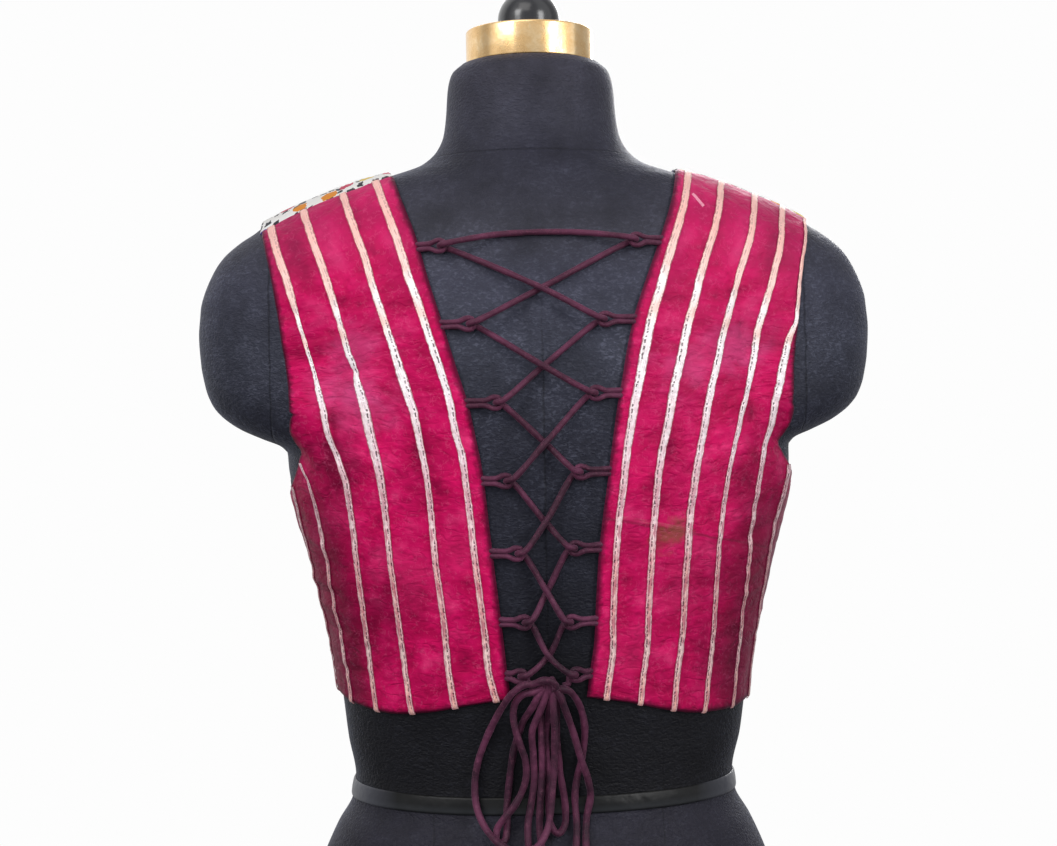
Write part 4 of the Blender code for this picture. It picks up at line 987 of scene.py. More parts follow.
KNOT_WRAPS = table("shift half_width half_height half_depth turn thick",
    (-2.3, 2.2, 4.4, 4.2, 22, 2.0),
    (1.9, 2.2, 4.6, 4.3, -18, 2.0),
)


def add_knot(material):
    """The bow's knot: a core of cord, and the turns of cord drawn tight round it."""
    middle = on_back(0, KNOT_HEIGHT, KNOT_RISE)
    deselect_all()
    bpy.ops.mesh.primitive_uv_sphere_add(segments=48, ring_count=24, radius=1, location=middle,
                                         scale=KNOT_SIZE * KNOT_CORE)
    pieces = [bpy.context.object]
    for wrap in KNOT_WRAPS:
        deselect_all()
        bpy.ops.mesh.primitive_torus_add(
            major_segments=48, minor_segments=16, major_radius=1, minor_radius=wrap.thick / WRAP_RADIUS,
            location=middle + Vector((wrap.shift * MM, 0, 0)),
            rotation=(0, math.pi / 2, math.radians(wrap.turn)))
        ring = bpy.context.object
        ring.scale = Vector((wrap.half_height, wrap.half_depth, WRAP_RADIUS)) * MM
        pieces.append(ring)
    deselect_all()
    for piece in pieces:
        piece.select_set(True)
    bpy.context.view_layer.objects.active = pieces[0]
    bpy.ops.object.join()
    knot = name_new("cord_bow_knot")
    in_edit_mode(knot, lambda: bpy.ops.mesh.normals_make_consistent(inside=False))
    return finish_piece(knot, material, ["bow_knot"], 80)


# ================================================================ the form and its fittings

FORM_AROUND, FORM_STEP = 240, 2.4     # points round the form, and millimetres between its rows
MERGE = 0.01 * MM              # points nearer than this become one


def add_form(material):
    """The torso with its arm caps: one closed skin with a flat base and a flat neck top."""
    outline = [skin(math.pi / 2, i * MM) for i in range(round(FORM_TOP / MM) + 1)]
    heights = [place * MM for place in even_steps(outline, FORM_STEP * MM)]
    torso = placed_grid(
        "jersey_torso", FORM_AROUND, len(heights) - 1,
        lambda column, row: skin(2 * math.pi * column / FORM_AROUND, heights[row]),
        lambda column, row: (column / FORM_AROUND, heights[row]))
    in_edit_mode(torso, lambda: bpy.ops.mesh.remove_doubles(threshold=MERGE),
                 lambda: bpy.ops.mesh.fill_holes(sides=0),
                 lambda: bpy.ops.mesh.normals_make_consistent(inside=False))
    return finish_piece(torso, material, ["form_body"], 50)


TAPE_PROFILE = ((0.0, 0.0), (0.03, 0.75), (0.12, 1.15), (0.5, 1.5), (0.88, 1.15), (0.97, 0.75),
                (1.0, 0.0), (0.5, 0.0), (0.0, 0.0))     # part of the height, and rise in millimetres


def add_tape(material):
    """The tape in the waist seam: a thin band round the form, a little crowned."""
    def place(column, row):
        angle = 2 * math.pi * column / FORM_AROUND
        part, rise = TAPE_PROFILE[row]
        wave = 0.5 * noise.noise(Vector((math.sin(angle) * 2.2, math.cos(angle) * 2.2, 0.0))) * MM
        point = skin(angle, TAPE_LOW + (TAPE_HIGH - TAPE_LOW) * part)
        lifted = point + Vector((point.x, point.y, 0)).normalized() * (SEAM_GAP + rise * MM)
        return lifted + Vector((0, 0, wave))

    band = placed_grid("vinyl_waist_tape", FORM_AROUND, len(TAPE_PROFILE) - 1, place,
                       lambda column, row: (column / FORM_AROUND, row / 8))
    in_edit_mode(band, lambda: bpy.ops.mesh.remove_doubles(threshold=MERGE),
                 lambda: bpy.ops.mesh.normals_make_consistent(inside=False))
    return finish_piece(band, material, ["waist_tape"], 60)


def add_neck_cap(material):
    """The brass cap on the neck: a low drum, its rims rolled and its lower rim a little dented."""
    deselect_all()
    low = FORM_TOP + SEAM_GAP
    bpy.ops.mesh.primitive_cylinder_add(vertices=128, radius=NECK_CAP_RADIUS, depth=NECK_CAP_HEIGHT,
                                        location=(0, 0, low + NECK_CAP_HEIGHT / 2))
    cap = name_new("brass_neck_cap")
    in_edit_mode(cap, lambda: bpy.ops.mesh.select_mode(type="EDGE"),
                 lambda: bpy.ops.mesh.select_all(action="DESELECT"))
    for edge in cap.data.edges:
        a, b = (cap.data.vertices[i].co for i in edge.vertices)
        edge.select = abs(a.z - b.z) < 0.1 * MM
    in_edit_mode(cap, lambda: bpy.ops.mesh.bevel(offset=NECK_CAP_ROLL, segments=5, affect="EDGES"),
                 whole=False)
    for vertex in cap.data.vertices:
        angle = math.atan2(vertex.co.y, vertex.co.x)
        share = smooth_step(low + DENT_REACH, low, vertex.co.z)
        dent = noise.noise(Vector((math.cos(angle) * 3, math.sin(angle) * 3, 4.0))) - 0.3
        radial = Vector((vertex.co.x, vertex.co.y, 0))
        if radial.length > 30 * MM:
            vertex.co += radial.normalized() * min(0.0, dent) * DENT_DEPTH * share
    return finish_piece(cap, material, ["neck_cap"], 35)


def add_knob(material):
    """The knob on the cap: half a ball, and a short straight side down to its foot."""
    foot = FORM_TOP + NECK_CAP_HEIGHT + 2 * SEAM_GAP
    deselect_all()
    bpy.ops.mesh.primitive_uv_sphere_add(segments=96, ring_count=48, radius=KNOB_RADIUS,
                                         location=(0, 0, KNOB_CENTRE))
    knob = name_new("lacquered_knob")
    in_edit_mode(knob, lambda: bpy.ops.mesh.bisect(plane_co=(0, 0, KNOB_CENTRE), plane_no=(0, 0, 1),
                                                   clear_inner=True))
    for edge in knob.data.edges:
        edge.select = all(knob.data.vertices[i].co.z < KNOB_CENTRE + 0.01 * MM for i in edge.vertices)
    for vertex in knob.data.vertices:
        vertex.select = vertex.co.z < KNOB_CENTRE + 0.01 * MM
    for face in knob.data.polygons:
        face.select = False
    down = {"value": (0, 0, foot - KNOB_CENTRE)}
    in_edit_mode(knob, lambda: bpy.ops.mesh.select_mode(type="EDGE"),
                 lambda: bpy.ops.mesh.extrude_region_move(TRANSFORM_OT_translate=down),
                 lambda: bpy.ops.mesh.edge_face_add(), whole=False)
    in_edit_mode(knob, lambda: bpy.ops.mesh.normals_make_consistent(inside=False))
    return finish_piece(knob, material, ["neck_knob"], 35)


# ================================================================ materials


def add_node(material, kind, *values, out=None, stops=(), **settings):
    """Adds one node and gives back one of its outputs: out, or else the first in use.

    values fill its inputs in their order.  A setting whose name starts with a capital fills
    the input of that name, and any other sets the node itself.  A colour is a hex string.
    A Math or a VectorMath node adds, unless its operation is given.
    """
    tree = material.node_tree
    made = tree.nodes.new("ShaderNode" + kind)
    named = {name: settings.pop(name) for name in list(settings) if name[0].isupper()}
    for name, value in settings.items():
        setattr(made, name, value)
    if stops:
        elements = made.color_ramp.elements
        while len(elements) < len(stops):
            elements.new(1.0)
        for element, (place, colour) in zip(elements, stops):
            element.position, element.color = place, linear(colour)
    filled = [*zip([socket for socket in made.inputs if socket.enabled], values),
              *[(made.inputs[name.replace("_", " ")], value) for name, value in named.items()]]
    for socket, value in filled:
        if isinstance(value, bpy.types.NodeSocket):
            tree.links.new(value, socket)
        else:
            socket.default_value = linear(value) if isinstance(value, str) else value
    if isinstance(out, tuple):
        return [made.outputs[name] for name in out]
    return made.outputs[out] if out else next((s for s in made.outputs if s.enabled), None)


def new_material(name, colour, roughness, **sockets):
    """A Principled material, its own node adder and its shader.  sockets are the shader's values."""
    made = bpy.data.materials.new(name)
    made.use_nodes = True
    shader = made.node_tree.nodes["Principled BSDF"]
    for socket, value in {"Base Color": colour, "Roughness": roughness, **sockets}.items():
        value = linear(value) if isinstance(value, str) else value
        shader.inputs[socket.replace("_", " ")].default_value = value
    return made, partial(add_node, made), shader


def link(source, shader, socket):
    shader.id_data.links.new(source, shader.inputs[socket])


def curled_lines(node, place, scale, width, share):
    """Short curly lines that lie every way: 1 along their middles and 0 between them."""
    curl = node("TexNoise", place, Scale=scale, Detail=1.0, Distortion=0.4)
    away = node("Math", node("Math", curl, -0.5), operation="ABSOLUTE")
    moved = node("VectorMath", place, (0.31, 0.17, 0.73))
    breaks = node("TexNoise", moved, Scale=scale * 0.8, Detail=1.0)
    kept = node("MapRange", breaks, 0.62 - 0.3 * share, 0.72 - 0.3 * share)
    return node("Math", node("MapRange", away, 0.0, width, 1.0, 0.0), kept, operation="MULTIPLY")


# Painted shade on the silk, by height up the panel, up to 360 mm: darker high up, where the light falls
# strongest.
SILK_PAINTED_SHADE_BY_HEIGHT = ((0.0, "#FFFFFF"), (0.42, "#FFFFFF"), (0.60, "#FAFAFA"), (0.80, "#F2F2F2"), (1.0, "#FAFAFA"))
# the pale pink is a painted highlight, the deep maroon a painted shade, and the vivid crimson a tone of the
# dye
PAINTED_HIGHLIGHT_PINK, VIVID, PAINTED_SHADE_MAROON = "#DC5C98", "#E22C70", "#640A2C"
# Soft patches of colour: each patch's distance from the opening, height and radius,
# and its share of the colour in its middle.  The pale pink ones are painted highlights,
# the deep maroon ones painted shade, and the rest tones of the dye.
SILK_DYE_AND_LIGHT_PATCHES = {
    LEFT: table("out up radius share colour",
        (0.072, 0.203, 0.040, 0.50, PAINTED_HIGHLIGHT_PINK), (0.058, 0.246, 0.030, 0.30, PAINTED_HIGHLIGHT_PINK),
        (0.094, 0.157, 0.032, 0.85, PAINTED_SHADE_MAROON), (0.097, 0.125, 0.022, 0.60, VIVID),
        (0.080, 0.064, 0.034, 0.55, PAINTED_SHADE_MAROON), (0.052, 0.085, 0.026, 0.50, VIVID),
        (0.016, 0.100, 0.026, 0.35, VIVID), (0.030, 0.150, 0.022, 0.30, PAINTED_SHADE_MAROON),
    ),
    RIGHT: table("out up radius share colour",
        (0.073, 0.243, 0.034, 0.40, PAINTED_HIGHLIGHT_PINK), (0.036, 0.222, 0.028, 0.34, PAINTED_HIGHLIGHT_PINK),
        (0.076, 0.193, 0.026, 0.50, "#A8083E"), (0.090, 0.150, 0.026, 0.35, PAINTED_SHADE_MAROON),
        (0.088, 0.082, 0.024, 0.45, PAINTED_SHADE_MAROON), (0.090, 0.030, 0.036, 0.60, PAINTED_SHADE_MAROON),
        (0.052, 0.074, 0.024, 0.50, VIVID), (0.018, 0.036, 0.030, 0.40, VIVID),
    ),
}
SILK_SHEEN, SILK_GLOSS = {LEFT: 0.0, RIGHT: 0.08}, {LEFT: 0.22, RIGHT: 0.38}
SIDE_SHADE_FROM = 0.078            # from where the sides are painted darker, as shade


def add_patches(node, uv, colour, patches):
    """Lays soft uneven patches over a colour."""
    rough = node("TexNoise", uv, Scale=70.0, Detail=3.0, out="Color")
    shift = node("VectorMath", rough, (0.5, 0.5, 0.5), operation="SUBTRACT")
    shaken = node("VectorMath", shift, (0.05, 0.05, 0.0), uv, operation="MULTIPLY_ADD")
    for patch in patches:
        away = node("VectorMath", shaken, (patch.out, patch.up, 0.0), operation="DISTANCE")
        share = node("MapRange", away, patch.radius * 0.1, patch.radius, patch.share, 0.0,
                     interpolation_type="SMOOTHSTEP")
        colour = node("Mix", share, colour, patch.colour, data_type="RGBA")
    return colour


def crimson_silk(name, side_of):
    """Raw silk, hand woven in a plain weave, dyed crimson and washed until it has a soft nap.

    It is mottled where the dye took unevenly.  Painted highlights pale it over the shoulder
    blades and on the shoulders, and painted shade darkens it high up, low at the sides, in
    soft patches, in its wrinkles and along its folded edges.  Soft puckers, raised and also
    painted in light and shade, run across it between the ribbons, and pale fibres, partly
    painted highlights, stand up on it.  Its weave, 0.25 mm, is drawn at 0.9 mm to show at all.
    """
    made, node, shader = new_material(name, "#C4145C", 0.5, Sheen_Weight=SILK_SHEEN[side_of],
                                      Sheen_Roughness=0.4, Specular_IOR_Level=SILK_GLOSS[side_of],
                                      Specular_Tint="#FF8CB8", Sheen_Tint="#D890C8")
    uv = node("TexCoord", out="UV")
    out_from, up = node("SeparateXYZ", uv, out=("X", "Y"))
    clouds = node("TexNoise", uv, Scale=46.0, Detail=4.0, Roughness=0.52)
    dyed = node("ValToRGB", clouds,
                stops=((0.3, "#960A40"), (0.42, "#BE1052"), (0.55, "#CE145E"), (0.7, "#E03474")))
    broad_tone = node("MapRange", node("TexNoise", uv, Scale=19.0, Detail=2.0), 0.32, 0.66, 0.76, 1.16)
    # puckers 4 to 9 mm apart, where the ribbons' stitches draw the cloth in
    across = node("Mapping", uv, Scale=(0.62, 1.15, 1.0))
    pucker = node("TexNoise", across, Scale=115.0, Detail=2.0, Distortion=0.6)
    # painted shade by height: darker high up, where the light falls strongest
    painted_height_shade = node("ValToRGB", node("MapRange", up, 0.0, 0.36), stops=SILK_PAINTED_SHADE_BY_HEIGHT)
    # the puckers are painted into the colour as light and shade too, over the broad tone of the dye
    tone_and_pucker_shade = node("Math", broad_tone, node("MapRange", pucker, 0.35, 0.62, 0.91, 1.05), operation="MULTIPLY")
    shade = node("Math", tone_and_pucker_shade, painted_height_shade, operation="MULTIPLY")
    toned = node("VectorMath", dyed, Scale=shade, operation="SCALE")
    # soft patches over it: painted highlights over the shoulder blades, painted shade in the deep ones, and
    # tones of the dye
    patched = add_patches(node, uv, toned, SILK_DYE_AND_LIGHT_PATCHES[side_of])
    # the shoulders have faded a little, and the dye has kept its depth low at the side
    # painted light: the shoulders are painted paler, where the light from above falls on them, and painted
    # shade darkens the sides low down
    high = node("MapRange", up, 0.29, 0.355, 0.0, 0.4)
    painted_top_light = node("Mix", high, patched, "#B04070", data_type="RGBA")
    side = node("MapRange", out_from, SIDE_SHADE_FROM, SIDE_SHADE_FROM + 0.03, interpolation_type="SMOOTHSTEP")
    low = node("MapRange", up, 0.185, 0.085, interpolation_type="SMOOTHSTEP")
    share = node("Math", node("Math", side, low, operation="MULTIPLY"), 0.74, operation="MULTIPLY")
    colour = node("Mix", share, painted_top_light, "#520A26", data_type="RGBA")
    if side_of == RIGHT:
        colour = add_stain(node, uv, colour)
    # fine wrinkles, more of them low down, painted dark as shade in their creases, and the nap's pale
    # fibres, partly painted highlights
    wrinkles = curled_lines(node, across, 150.0, 0.1, 0.55)
    worn = node("MapRange", up, 0.26, 0.16, 0.08, 0.24)
    wrinkle_share = node("Math", wrinkles, worn, operation="MULTIPLY")
    crease_shaded = node("Mix", wrinkle_share, colour, "#6A0A32", data_type="RGBA")
    fibre_and_glint_share = node("Math", curled_lines(node, uv, 290.0, 0.05, 0.5), 0.15, operation="MULTIPLY")
    napped = node("Mix", fibre_and_glint_share, crease_shaded, "#F074A4", data_type="RGBA")
    # painted shade along the folded edge, in a band that comes and goes
    edge = node("Attribute", attribute_name="edge_distance", out="Fac")
    ragged_width = node("MapRange", node("TexNoise", uv, Scale=210.0, Detail=2.0), 0.3, 0.7, 0.0024, 0.0062)
    painted_edge_shade = node("MapRange", edge, 0.001, ragged_width, 0.92, 0.0)
    link(node("Mix", painted_edge_shade, napped, "#3A0C22", data_type="RGBA"), shader, "Base Color")
    weave = node("TexNoise", uv, Scale=1100.0, Detail=1.0)
    relief_a = node("Bump", Height=weave, Strength=0.25, Distance=0.0004)
    relief_b = node("Bump", Height=pucker, Strength=0.6, Distance=0.002, Normal=relief_a)
    relief_c = node("Bump", Height=clouds, Strength=0.5, Distance=0.0026, Normal=relief_b)
    relief_d = node("Bump", Height=wrinkles, Strength=0.35, Distance=0.0006, Normal=relief_c, invert=True)
    link(relief_d, shader, "Normal")
    return made


def add_stain(node, uv, colour):
    """The join across the right panel, and the olive-brown mark worn into the cloth by it."""
    out_from, up = node("SeparateXYZ", uv, out=("X", "Y"))
    wander = node("TexNoise", uv, Scale=90.0, Detail=2.0)
    wandered = node("MapRange", wander, To_Min=-0.122, To_Max=-0.119)
    slope = node("Math", out_from, 0.19, wandered, operation="MULTIPLY_ADD")
    above = node("Math", up, slope)
    join = node("MapRange", node("Math", above, operation="ABSOLUTE"), 0.0003, 0.0013, 0.55, 0.0)
    joined = node("Mix", join, colour, "#6E2238", data_type="RGBA")
    # just above the join, the cloth is worn to a pale streak 40 mm long
    along = node("Math", out_from, 0.032, 0.02, operation="COMPARE")
    just_above = node("Math", above, 0.0022, 0.0011, operation="COMPARE")
    streak = node("Math", along, just_above, operation="MULTIPLY")
    patchy = node("MapRange", wander, 0.4, 0.62, 0.05, 0.55)
    streak_share = node("Math", streak, patchy, operation="MULTIPLY")
    streaked = node("Mix", streak_share, joined, "#C8707C", data_type="RGBA")
    centred = node("Mapping", uv, Location=(-3.0, -6.25, 0.0), Scale=(50.0, 50.0, 1.0))
    rough = node("TexNoise", uv, Scale=130.0, Detail=5.0, out="Color")
    ragged = node("VectorMath", rough, Scale=1.6, operation="SCALE")
    ragged_place = node("VectorMath", centred, ragged)
    reach = node("VectorMath", ragged_place, (1.1, 1.6, 0.0), operation="MULTIPLY")
    mark = node("MapRange", node("VectorMath", reach, operation="LENGTH"), 0.25, 0.95, 0.72, 0.0)
    mixed = node("Mix", mark, streaked, "#7E5038", data_type="RGBA")
    # a snagged pale thread, 10 mm long, near the shoulder
    at_thread = node("VectorMath", uv, (0.0168, 0.3283, 0.0), operation="SUBTRACT")
    along = node("VectorMath", at_thread, (0.83, -0.56, 0.0), operation="DOT_PRODUCT")
    aside = node("VectorMath", at_thread, (0.56, 0.83, 0.0), operation="DOT_PRODUCT")
    thread = node("Math", node("Math", along, 0.0, 0.0052, operation="COMPARE"),
                  node("Math", aside, 0.0, 0.0010, operation="COMPARE"), operation="MULTIPLY")
    return node("Mix", thread, mixed, "#EE9CB4", data_type="RGBA")


def metallic_ribbon():
    """A narrow ribbon of flat metal foil woven on dark thread, sewn down along both sides.

    Its colour by height is partly painted light: near white across the middle heights, a
    painted highlight where the light reflects off the foil, peach at the shoulders and pinker
    near the hem.  A dark thread shows in a groove beside the selvedge nearest the opening,
    and low down the foil is broken all over by wear.
    """
    made, node, shader = new_material("metallic_foil_ribbon", "#EADFDC", 0.36, Metallic=0.06)
    uv = node("TexCoord", out="UV")
    across, along = node("SeparateXYZ", uv, out=("X", "Y"))
    # the foil's colour by height: peach at the shoulders, pinker near the hem, and near white across the
    # middle heights, a painted highlight where the light reflects
    drifted = node("MapRange", node("TexNoise", uv, Scale=30.0, Detail=3.0), To_Min=-0.09, To_Max=0.09)
    level_share = node("MapRange", node("Math", along, drifted), 0.0, 0.36)
    tone = node("ValToRGB", level_share,
                stops=((0.0, "#FFC4B8"), (0.12, "#FFE0DC"), (0.22, "#F4B0A8"), (0.3, "#FFDADC"),
                       (0.42, "#FFECF0"), (0.55, "#FFF2F8"), (0.7, "#FFF8FA"), (0.79, "#FBD5CC"),
                       (1.0, "#F4B8AE")))
    # streaks 0.4 mm wide and 12 mm long, along the foil
    lengthwise = node("Mapping", uv, Scale=(2400.0, 85.0, 1.0))
    streaks = node("TexNoise", lengthwise, Scale=1.0, Detail=2.0)
    streak_tone = node("MapRange", streaks, 0.34, 0.54, 0.76, 1.12)
    streaked = node("VectorMath", tone, Scale=streak_tone, operation="SCALE")
    # how worn the foil is: hardly at all above, and much of it below
    wear = node("MapRange", along, 0.2, 0.12, 0.06, 1.0)
    # patches up to 10 mm long where the foil has gone and the pink ground shows
    bare_place = node("Mapping", uv, Scale=(1.0, 0.45, 1.0))
    bare = node("TexNoise", bare_place, Scale=230.0, Detail=4.0, Roughness=0.6)
    bare_share = node("Math", node("MapRange", bare, 0.45, 0.55), wear, operation="MULTIPLY")
    bare_mix = node("Math", bare_share, 0.72, operation="MULTIPLY")
    patched = node("Mix", bare_mix, streaked, "#C4607C", data_type="RGBA")
    # both selvedges stay pale, parted from the foil by a fine line
    from_middle = node("Math", across, -RIBBON_WIDTH * MM / 2)
    aside = node("Math", from_middle, operation="ABSOLUTE")
    pale_share = node("Math", node("MapRange", aside, 0.0014, 0.0017, 0.0, 0.7), wear, operation="MULTIPLY")
    edged = node("Mix", pale_share, patched, "#FFD4DC", data_type="RGBA")
    fine = node("Math", aside, 0.0014, 0.00022, operation="COMPARE")
    fine_mix = node("Math", node("Math", fine, wear, operation="MULTIPLY"), 0.3, operation="MULTIPLY")
    parted = node("Mix", fine_mix, edged, "#8A2848", data_type="RGBA")
    # flecks of dark thread about 1 mm long where the foil is cut
    fleck_place = node("Mapping", uv, Scale=(1.0, 0.6, 1.0))
    fleck = node("MapRange", node("TexNoise", fleck_place, Scale=560.0, Detail=2.5), 0.64, 0.69)
    fleck_share = node("Math", fleck, wear, operation="MULTIPLY")
    # the groove, 1.2 mm inside the selvedge, in stretches
    wander = node("TexNoise", uv, Scale=260.0, Detail=2.0)
    groove_at = node("Math", across, node("MapRange", wander, To_Min=-0.001, To_Max=0.001))
    groove = node("Math", groove_at, 0.0018, 0.00046, operation="COMPARE")
    stretches = node("MapRange", node("TexNoise", uv, Scale=75.0, Detail=5.0, Roughness=0.75), 0.44, 0.5)
    # dashes about 2 mm long
    dash_place = node("Mapping", uv, Scale=(0.1, 1.0, 1.0))
    broken = node("MapRange", node("TexNoise", dash_place, Scale=430.0, Detail=1.0), 0.46, 0.5)
    # they show less near the shoulders
    fresh = node("MapRange", along, 0.24, 0.3, 1.0, 0.35)
    shown = node("Math", broken, fresh, operation="MULTIPLY")
    stitched = node("Math", shown, stretches, operation="MULTIPLY")
    grooved = node("Math", groove, stitched, operation="MULTIPLY")
    dark = node("Math", grooved, fleck_share, operation="MAXIMUM")
    dark_share = node("Math", dark, 0.9, operation="MULTIPLY")
    dashed = node("Mix", dark_share, parted, "#34101C", data_type="RGBA")
    # the silk's nap lies over both borders unevenly, with a shadow beside it
    nap = node("TexNoise", uv, Scale=480.0, Detail=2.0)
    border = node("Math", aside, node("MapRange", nap, To_Min=-0.0008, To_Max=0.001))
    shadow = node("MapRange", border, 0.0022, 0.0026, 0.0, 0.8)
    link(node("Mix", shadow, dashed, "#8E1E46", data_type="RGBA"), shader, "Base Color")
    link(node("MapRange", streaks, To_Min=0.28, To_Max=0.55), shader, "Roughness")
    relief_a = node("Bump", Height=streaks, Strength=0.4, Distance=0.0004)
    link(node("Bump", Height=wander, Strength=0.5, Distance=0.0016, Normal=relief_a), shader, "Normal")
    return made


def maroon_cord():
    """A limp tube of maroon cotton, cut on the bias, sewn and turned: matt, with a fine twill."""
    made, node, shader = new_material("bias_cotton_cord", "#4A2236", 0.6, Sheen_Weight=0.3,
                                      Sheen_Roughness=0.4, Specular_IOR_Level=0.25,
                                      Sheen_Tint="#C090B0")
    at = node("TexCoord", out="Object")
    clouds = node("TexNoise", at, Scale=60.0, Detail=3.0)
    tone = node("ValToRGB", clouds, stops=((0.34, "#2A1422"), (0.5, "#442034"), (0.66, "#60304A")))
    # painted light: lighter and redder towards the top of the lacing, where the light from above falls
    high = node("MapRange", node("SeparateXYZ", at, out="Z"), 0.2, 0.44, 0.0, 0.5)
    painted_top_light = node("Mix", high, tone, "#582A40", data_type="RGBA")
    line_share = node("Math", curled_lines(node, at, 420.0, 0.06, 0.6), 0.18, operation="MULTIPLY")
    link(node("Mix", line_share, painted_top_light, "#9A5A74", data_type="RGBA"), shader, "Base Color")
    twill = node("TexNoise", at, Scale=1300.0, Detail=2.0)
    pucker = node("TexNoise", at, Scale=260.0, Detail=2.0)
    relief_a = node("Bump", Height=twill, Strength=0.3, Distance=0.0004)
    link(node("Bump", Height=pucker, Strength=0.6, Distance=0.0012, Normal=relief_a), shader, "Normal")
    return made


# Painted light and shade on the jersey, by height: lighter where it faces up and where the sheen shows on
# the back, darkest under the blouse's hem.
JERSEY_PAINTED_LIGHT_BY_HEIGHT = ((0.0, "#201F29"), (0.145, "#26252F"), (0.165, "#111115"), (0.30, "#141419"),
               (0.42, "#1F2029"), (0.55, "#272833"), (0.66, "#363844"), (0.74, "#3A3B49"),
               (0.80, "#35353F"), (0.845, "#2E2E39"), (0.89, "#292935"), (0.93, "#3A3A46"),
               (1.0, "#3A3944"))          # by height, up to 560 mm

# How many pale fibres show on the jersey, by height as above: lint, and partly painted sheen glints, most
# where the sheen shows on the back.
JERSEY_LINT_AND_SHEEN = ((0.0, "#909090"), (0.15, "#808080"), (0.18, "#585858"), (0.35, "#606060"),
               (0.48, "#A8A8A8"), (0.62, "#FFFFFF"), (0.76, "#F0F0F0"), (0.82, "#A0A0A0"),
               (0.90, "#989898"), (1.0, "#A0A0A0"))
# How deep the centre seam's dark line is, by height in metres.
CENTRE_SEAM = ((0.0, "#888888"), (0.30, "#B0B0B0"), (0.36, "#A8A8A8"), (0.41, "#404040"),
               (0.48, "#303030"), (0.50, "#000000"))


def charcoal_jersey():
    """Napped cotton jersey, blue-black, stretched over the form.

    Pale stray fibres lie on it every way, partly painted sheen glints, and its colour is
    painted lighter where it faces up and where sheen shows on the back, and darker under the
    blouse's hem, as light and shade.  Seams run down the centre and round the neck and the
    arm caps.
    """
    made, node, shader = new_material("napped_cotton_jersey", "#26262F", 0.5, Sheen_Weight=0.2,
                                      Sheen_Roughness=0.35, Specular_IOR_Level=0.16,
                                      Sheen_Tint="#98A0C0")
    at = node("TexCoord", out="Object")
    height = node("MapRange", node("SeparateXYZ", at, out="Z"), 0.0, 0.56)
    painted_light_by_height = node("ValToRGB", height, stops=JERSEY_PAINTED_LIGHT_BY_HEIGHT)
    clouds = node("TexNoise", at, Scale=30.0, Detail=5.0, Roughness=0.65)
    cloud_tone = node("MapRange", clouds, 0.3, 0.7, 0.62, 1.25)
    tone = node("VectorMath", painted_light_by_height, Scale=cloud_tone, operation="SCALE")
    # crinkles 1 mm high and 4 mm long, with pale tops, and fibres over them, most at the height where the
    # sheen shows: pale marks that are partly painted sheen glints
    flat_place = node("Mapping", at, Scale=(0.5, 0.5, 1.0))
    crinkles = node("TexNoise", flat_place, Scale=620.0, Detail=2.0, Distortion=0.8)
    stray_share = node("Math", curled_lines(node, at, 330.0, 0.035, 0.55), 0.45, operation="MULTIPLY")
    fibres = node("Math", node("MapRange", crinkles, 0.5, 0.68), stray_share, operation="MAXIMUM")
    higher = node("ValToRGB", height, stops=JERSEY_LINT_AND_SHEEN)
    lint_and_sheen = node("Math", higher, node("MapRange", clouds, 0.4, 0.66, 0.06, 0.26), operation="MULTIPLY")
    fibre_and_glint_share = node("Math", fibres, lint_and_sheen, operation="MULTIPLY")
    # pale fibres and crinkle tops, partly painted sheen glints
    napped = node("Mix", fibre_and_glint_share, tone, "#8C90A6", data_type="RGBA")
    seam = add_seams(node, at)
    link(node("Mix", seam, napped, "#08080B", data_type="RGBA"), shader, "Base Color")
    grain = node("TexNoise", at, Scale=600.0, Detail=2.0)
    link(node("MapRange", grain, To_Min=0.34, To_Max=0.75), shader, "Roughness")
    relief_a = node("Bump", Height=grain, Strength=0.6, Distance=0.0009)
    relief_b = node("Bump", Height=crinkles, Strength=0.6, Distance=0.0012, Normal=relief_a)
    relief_c = node("Bump", Height=seam, Strength=0.6, Distance=0.001, Normal=relief_b, invert=True)
    link(relief_c, shader, "Normal")
    return made


def add_seams(node, at):
    """The form's seams: where each one's own plane is within half a millimetre."""
    wandered = node("MapRange", node("TexNoise", at, Scale=90.0, Detail=2.0), To_Min=-0.0011, To_Max=0.0011)
    z, x = node("SeparateXYZ", at, out=("Z", "X"))
    width = node("Math", node("Math", x, wandered), operation="ABSOLUTE")
    deep = node("ValToRGB", z, stops=CENTRE_SEAM)
    centre_seam = node("Math", node("MapRange", width, 0.0002, 0.001, 1.0, 0.0), deep, operation="MULTIPLY")
    neck_off = node("Math", node("Math", z, -0.499), operation="ABSOLUTE")
    neck_seam = node("MapRange", neck_off, 0.0002, 0.0009, 0.35, 0.0)
    arm_off = node("Math", node("Math", width, -0.1705), operation="ABSOLUTE")
    two = node("Math", centre_seam, neck_seam, operation="MAXIMUM")
    three = node("Math", two, node("MapRange", arm_off, 0.0002, 0.0009, 0.5, 0.0), operation="MAXIMUM")
    # the shaping seams, which fade out above the waist
    shaping_out = node("Math", width, 0.072, 0.0005, operation="COMPARE")
    shaping = node("Math", shaping_out, node("MapRange", z, 0.1, 0.18, 0.35, 0.0), operation="MULTIPLY")
    return node("Math", three, shaping, operation="MAXIMUM")


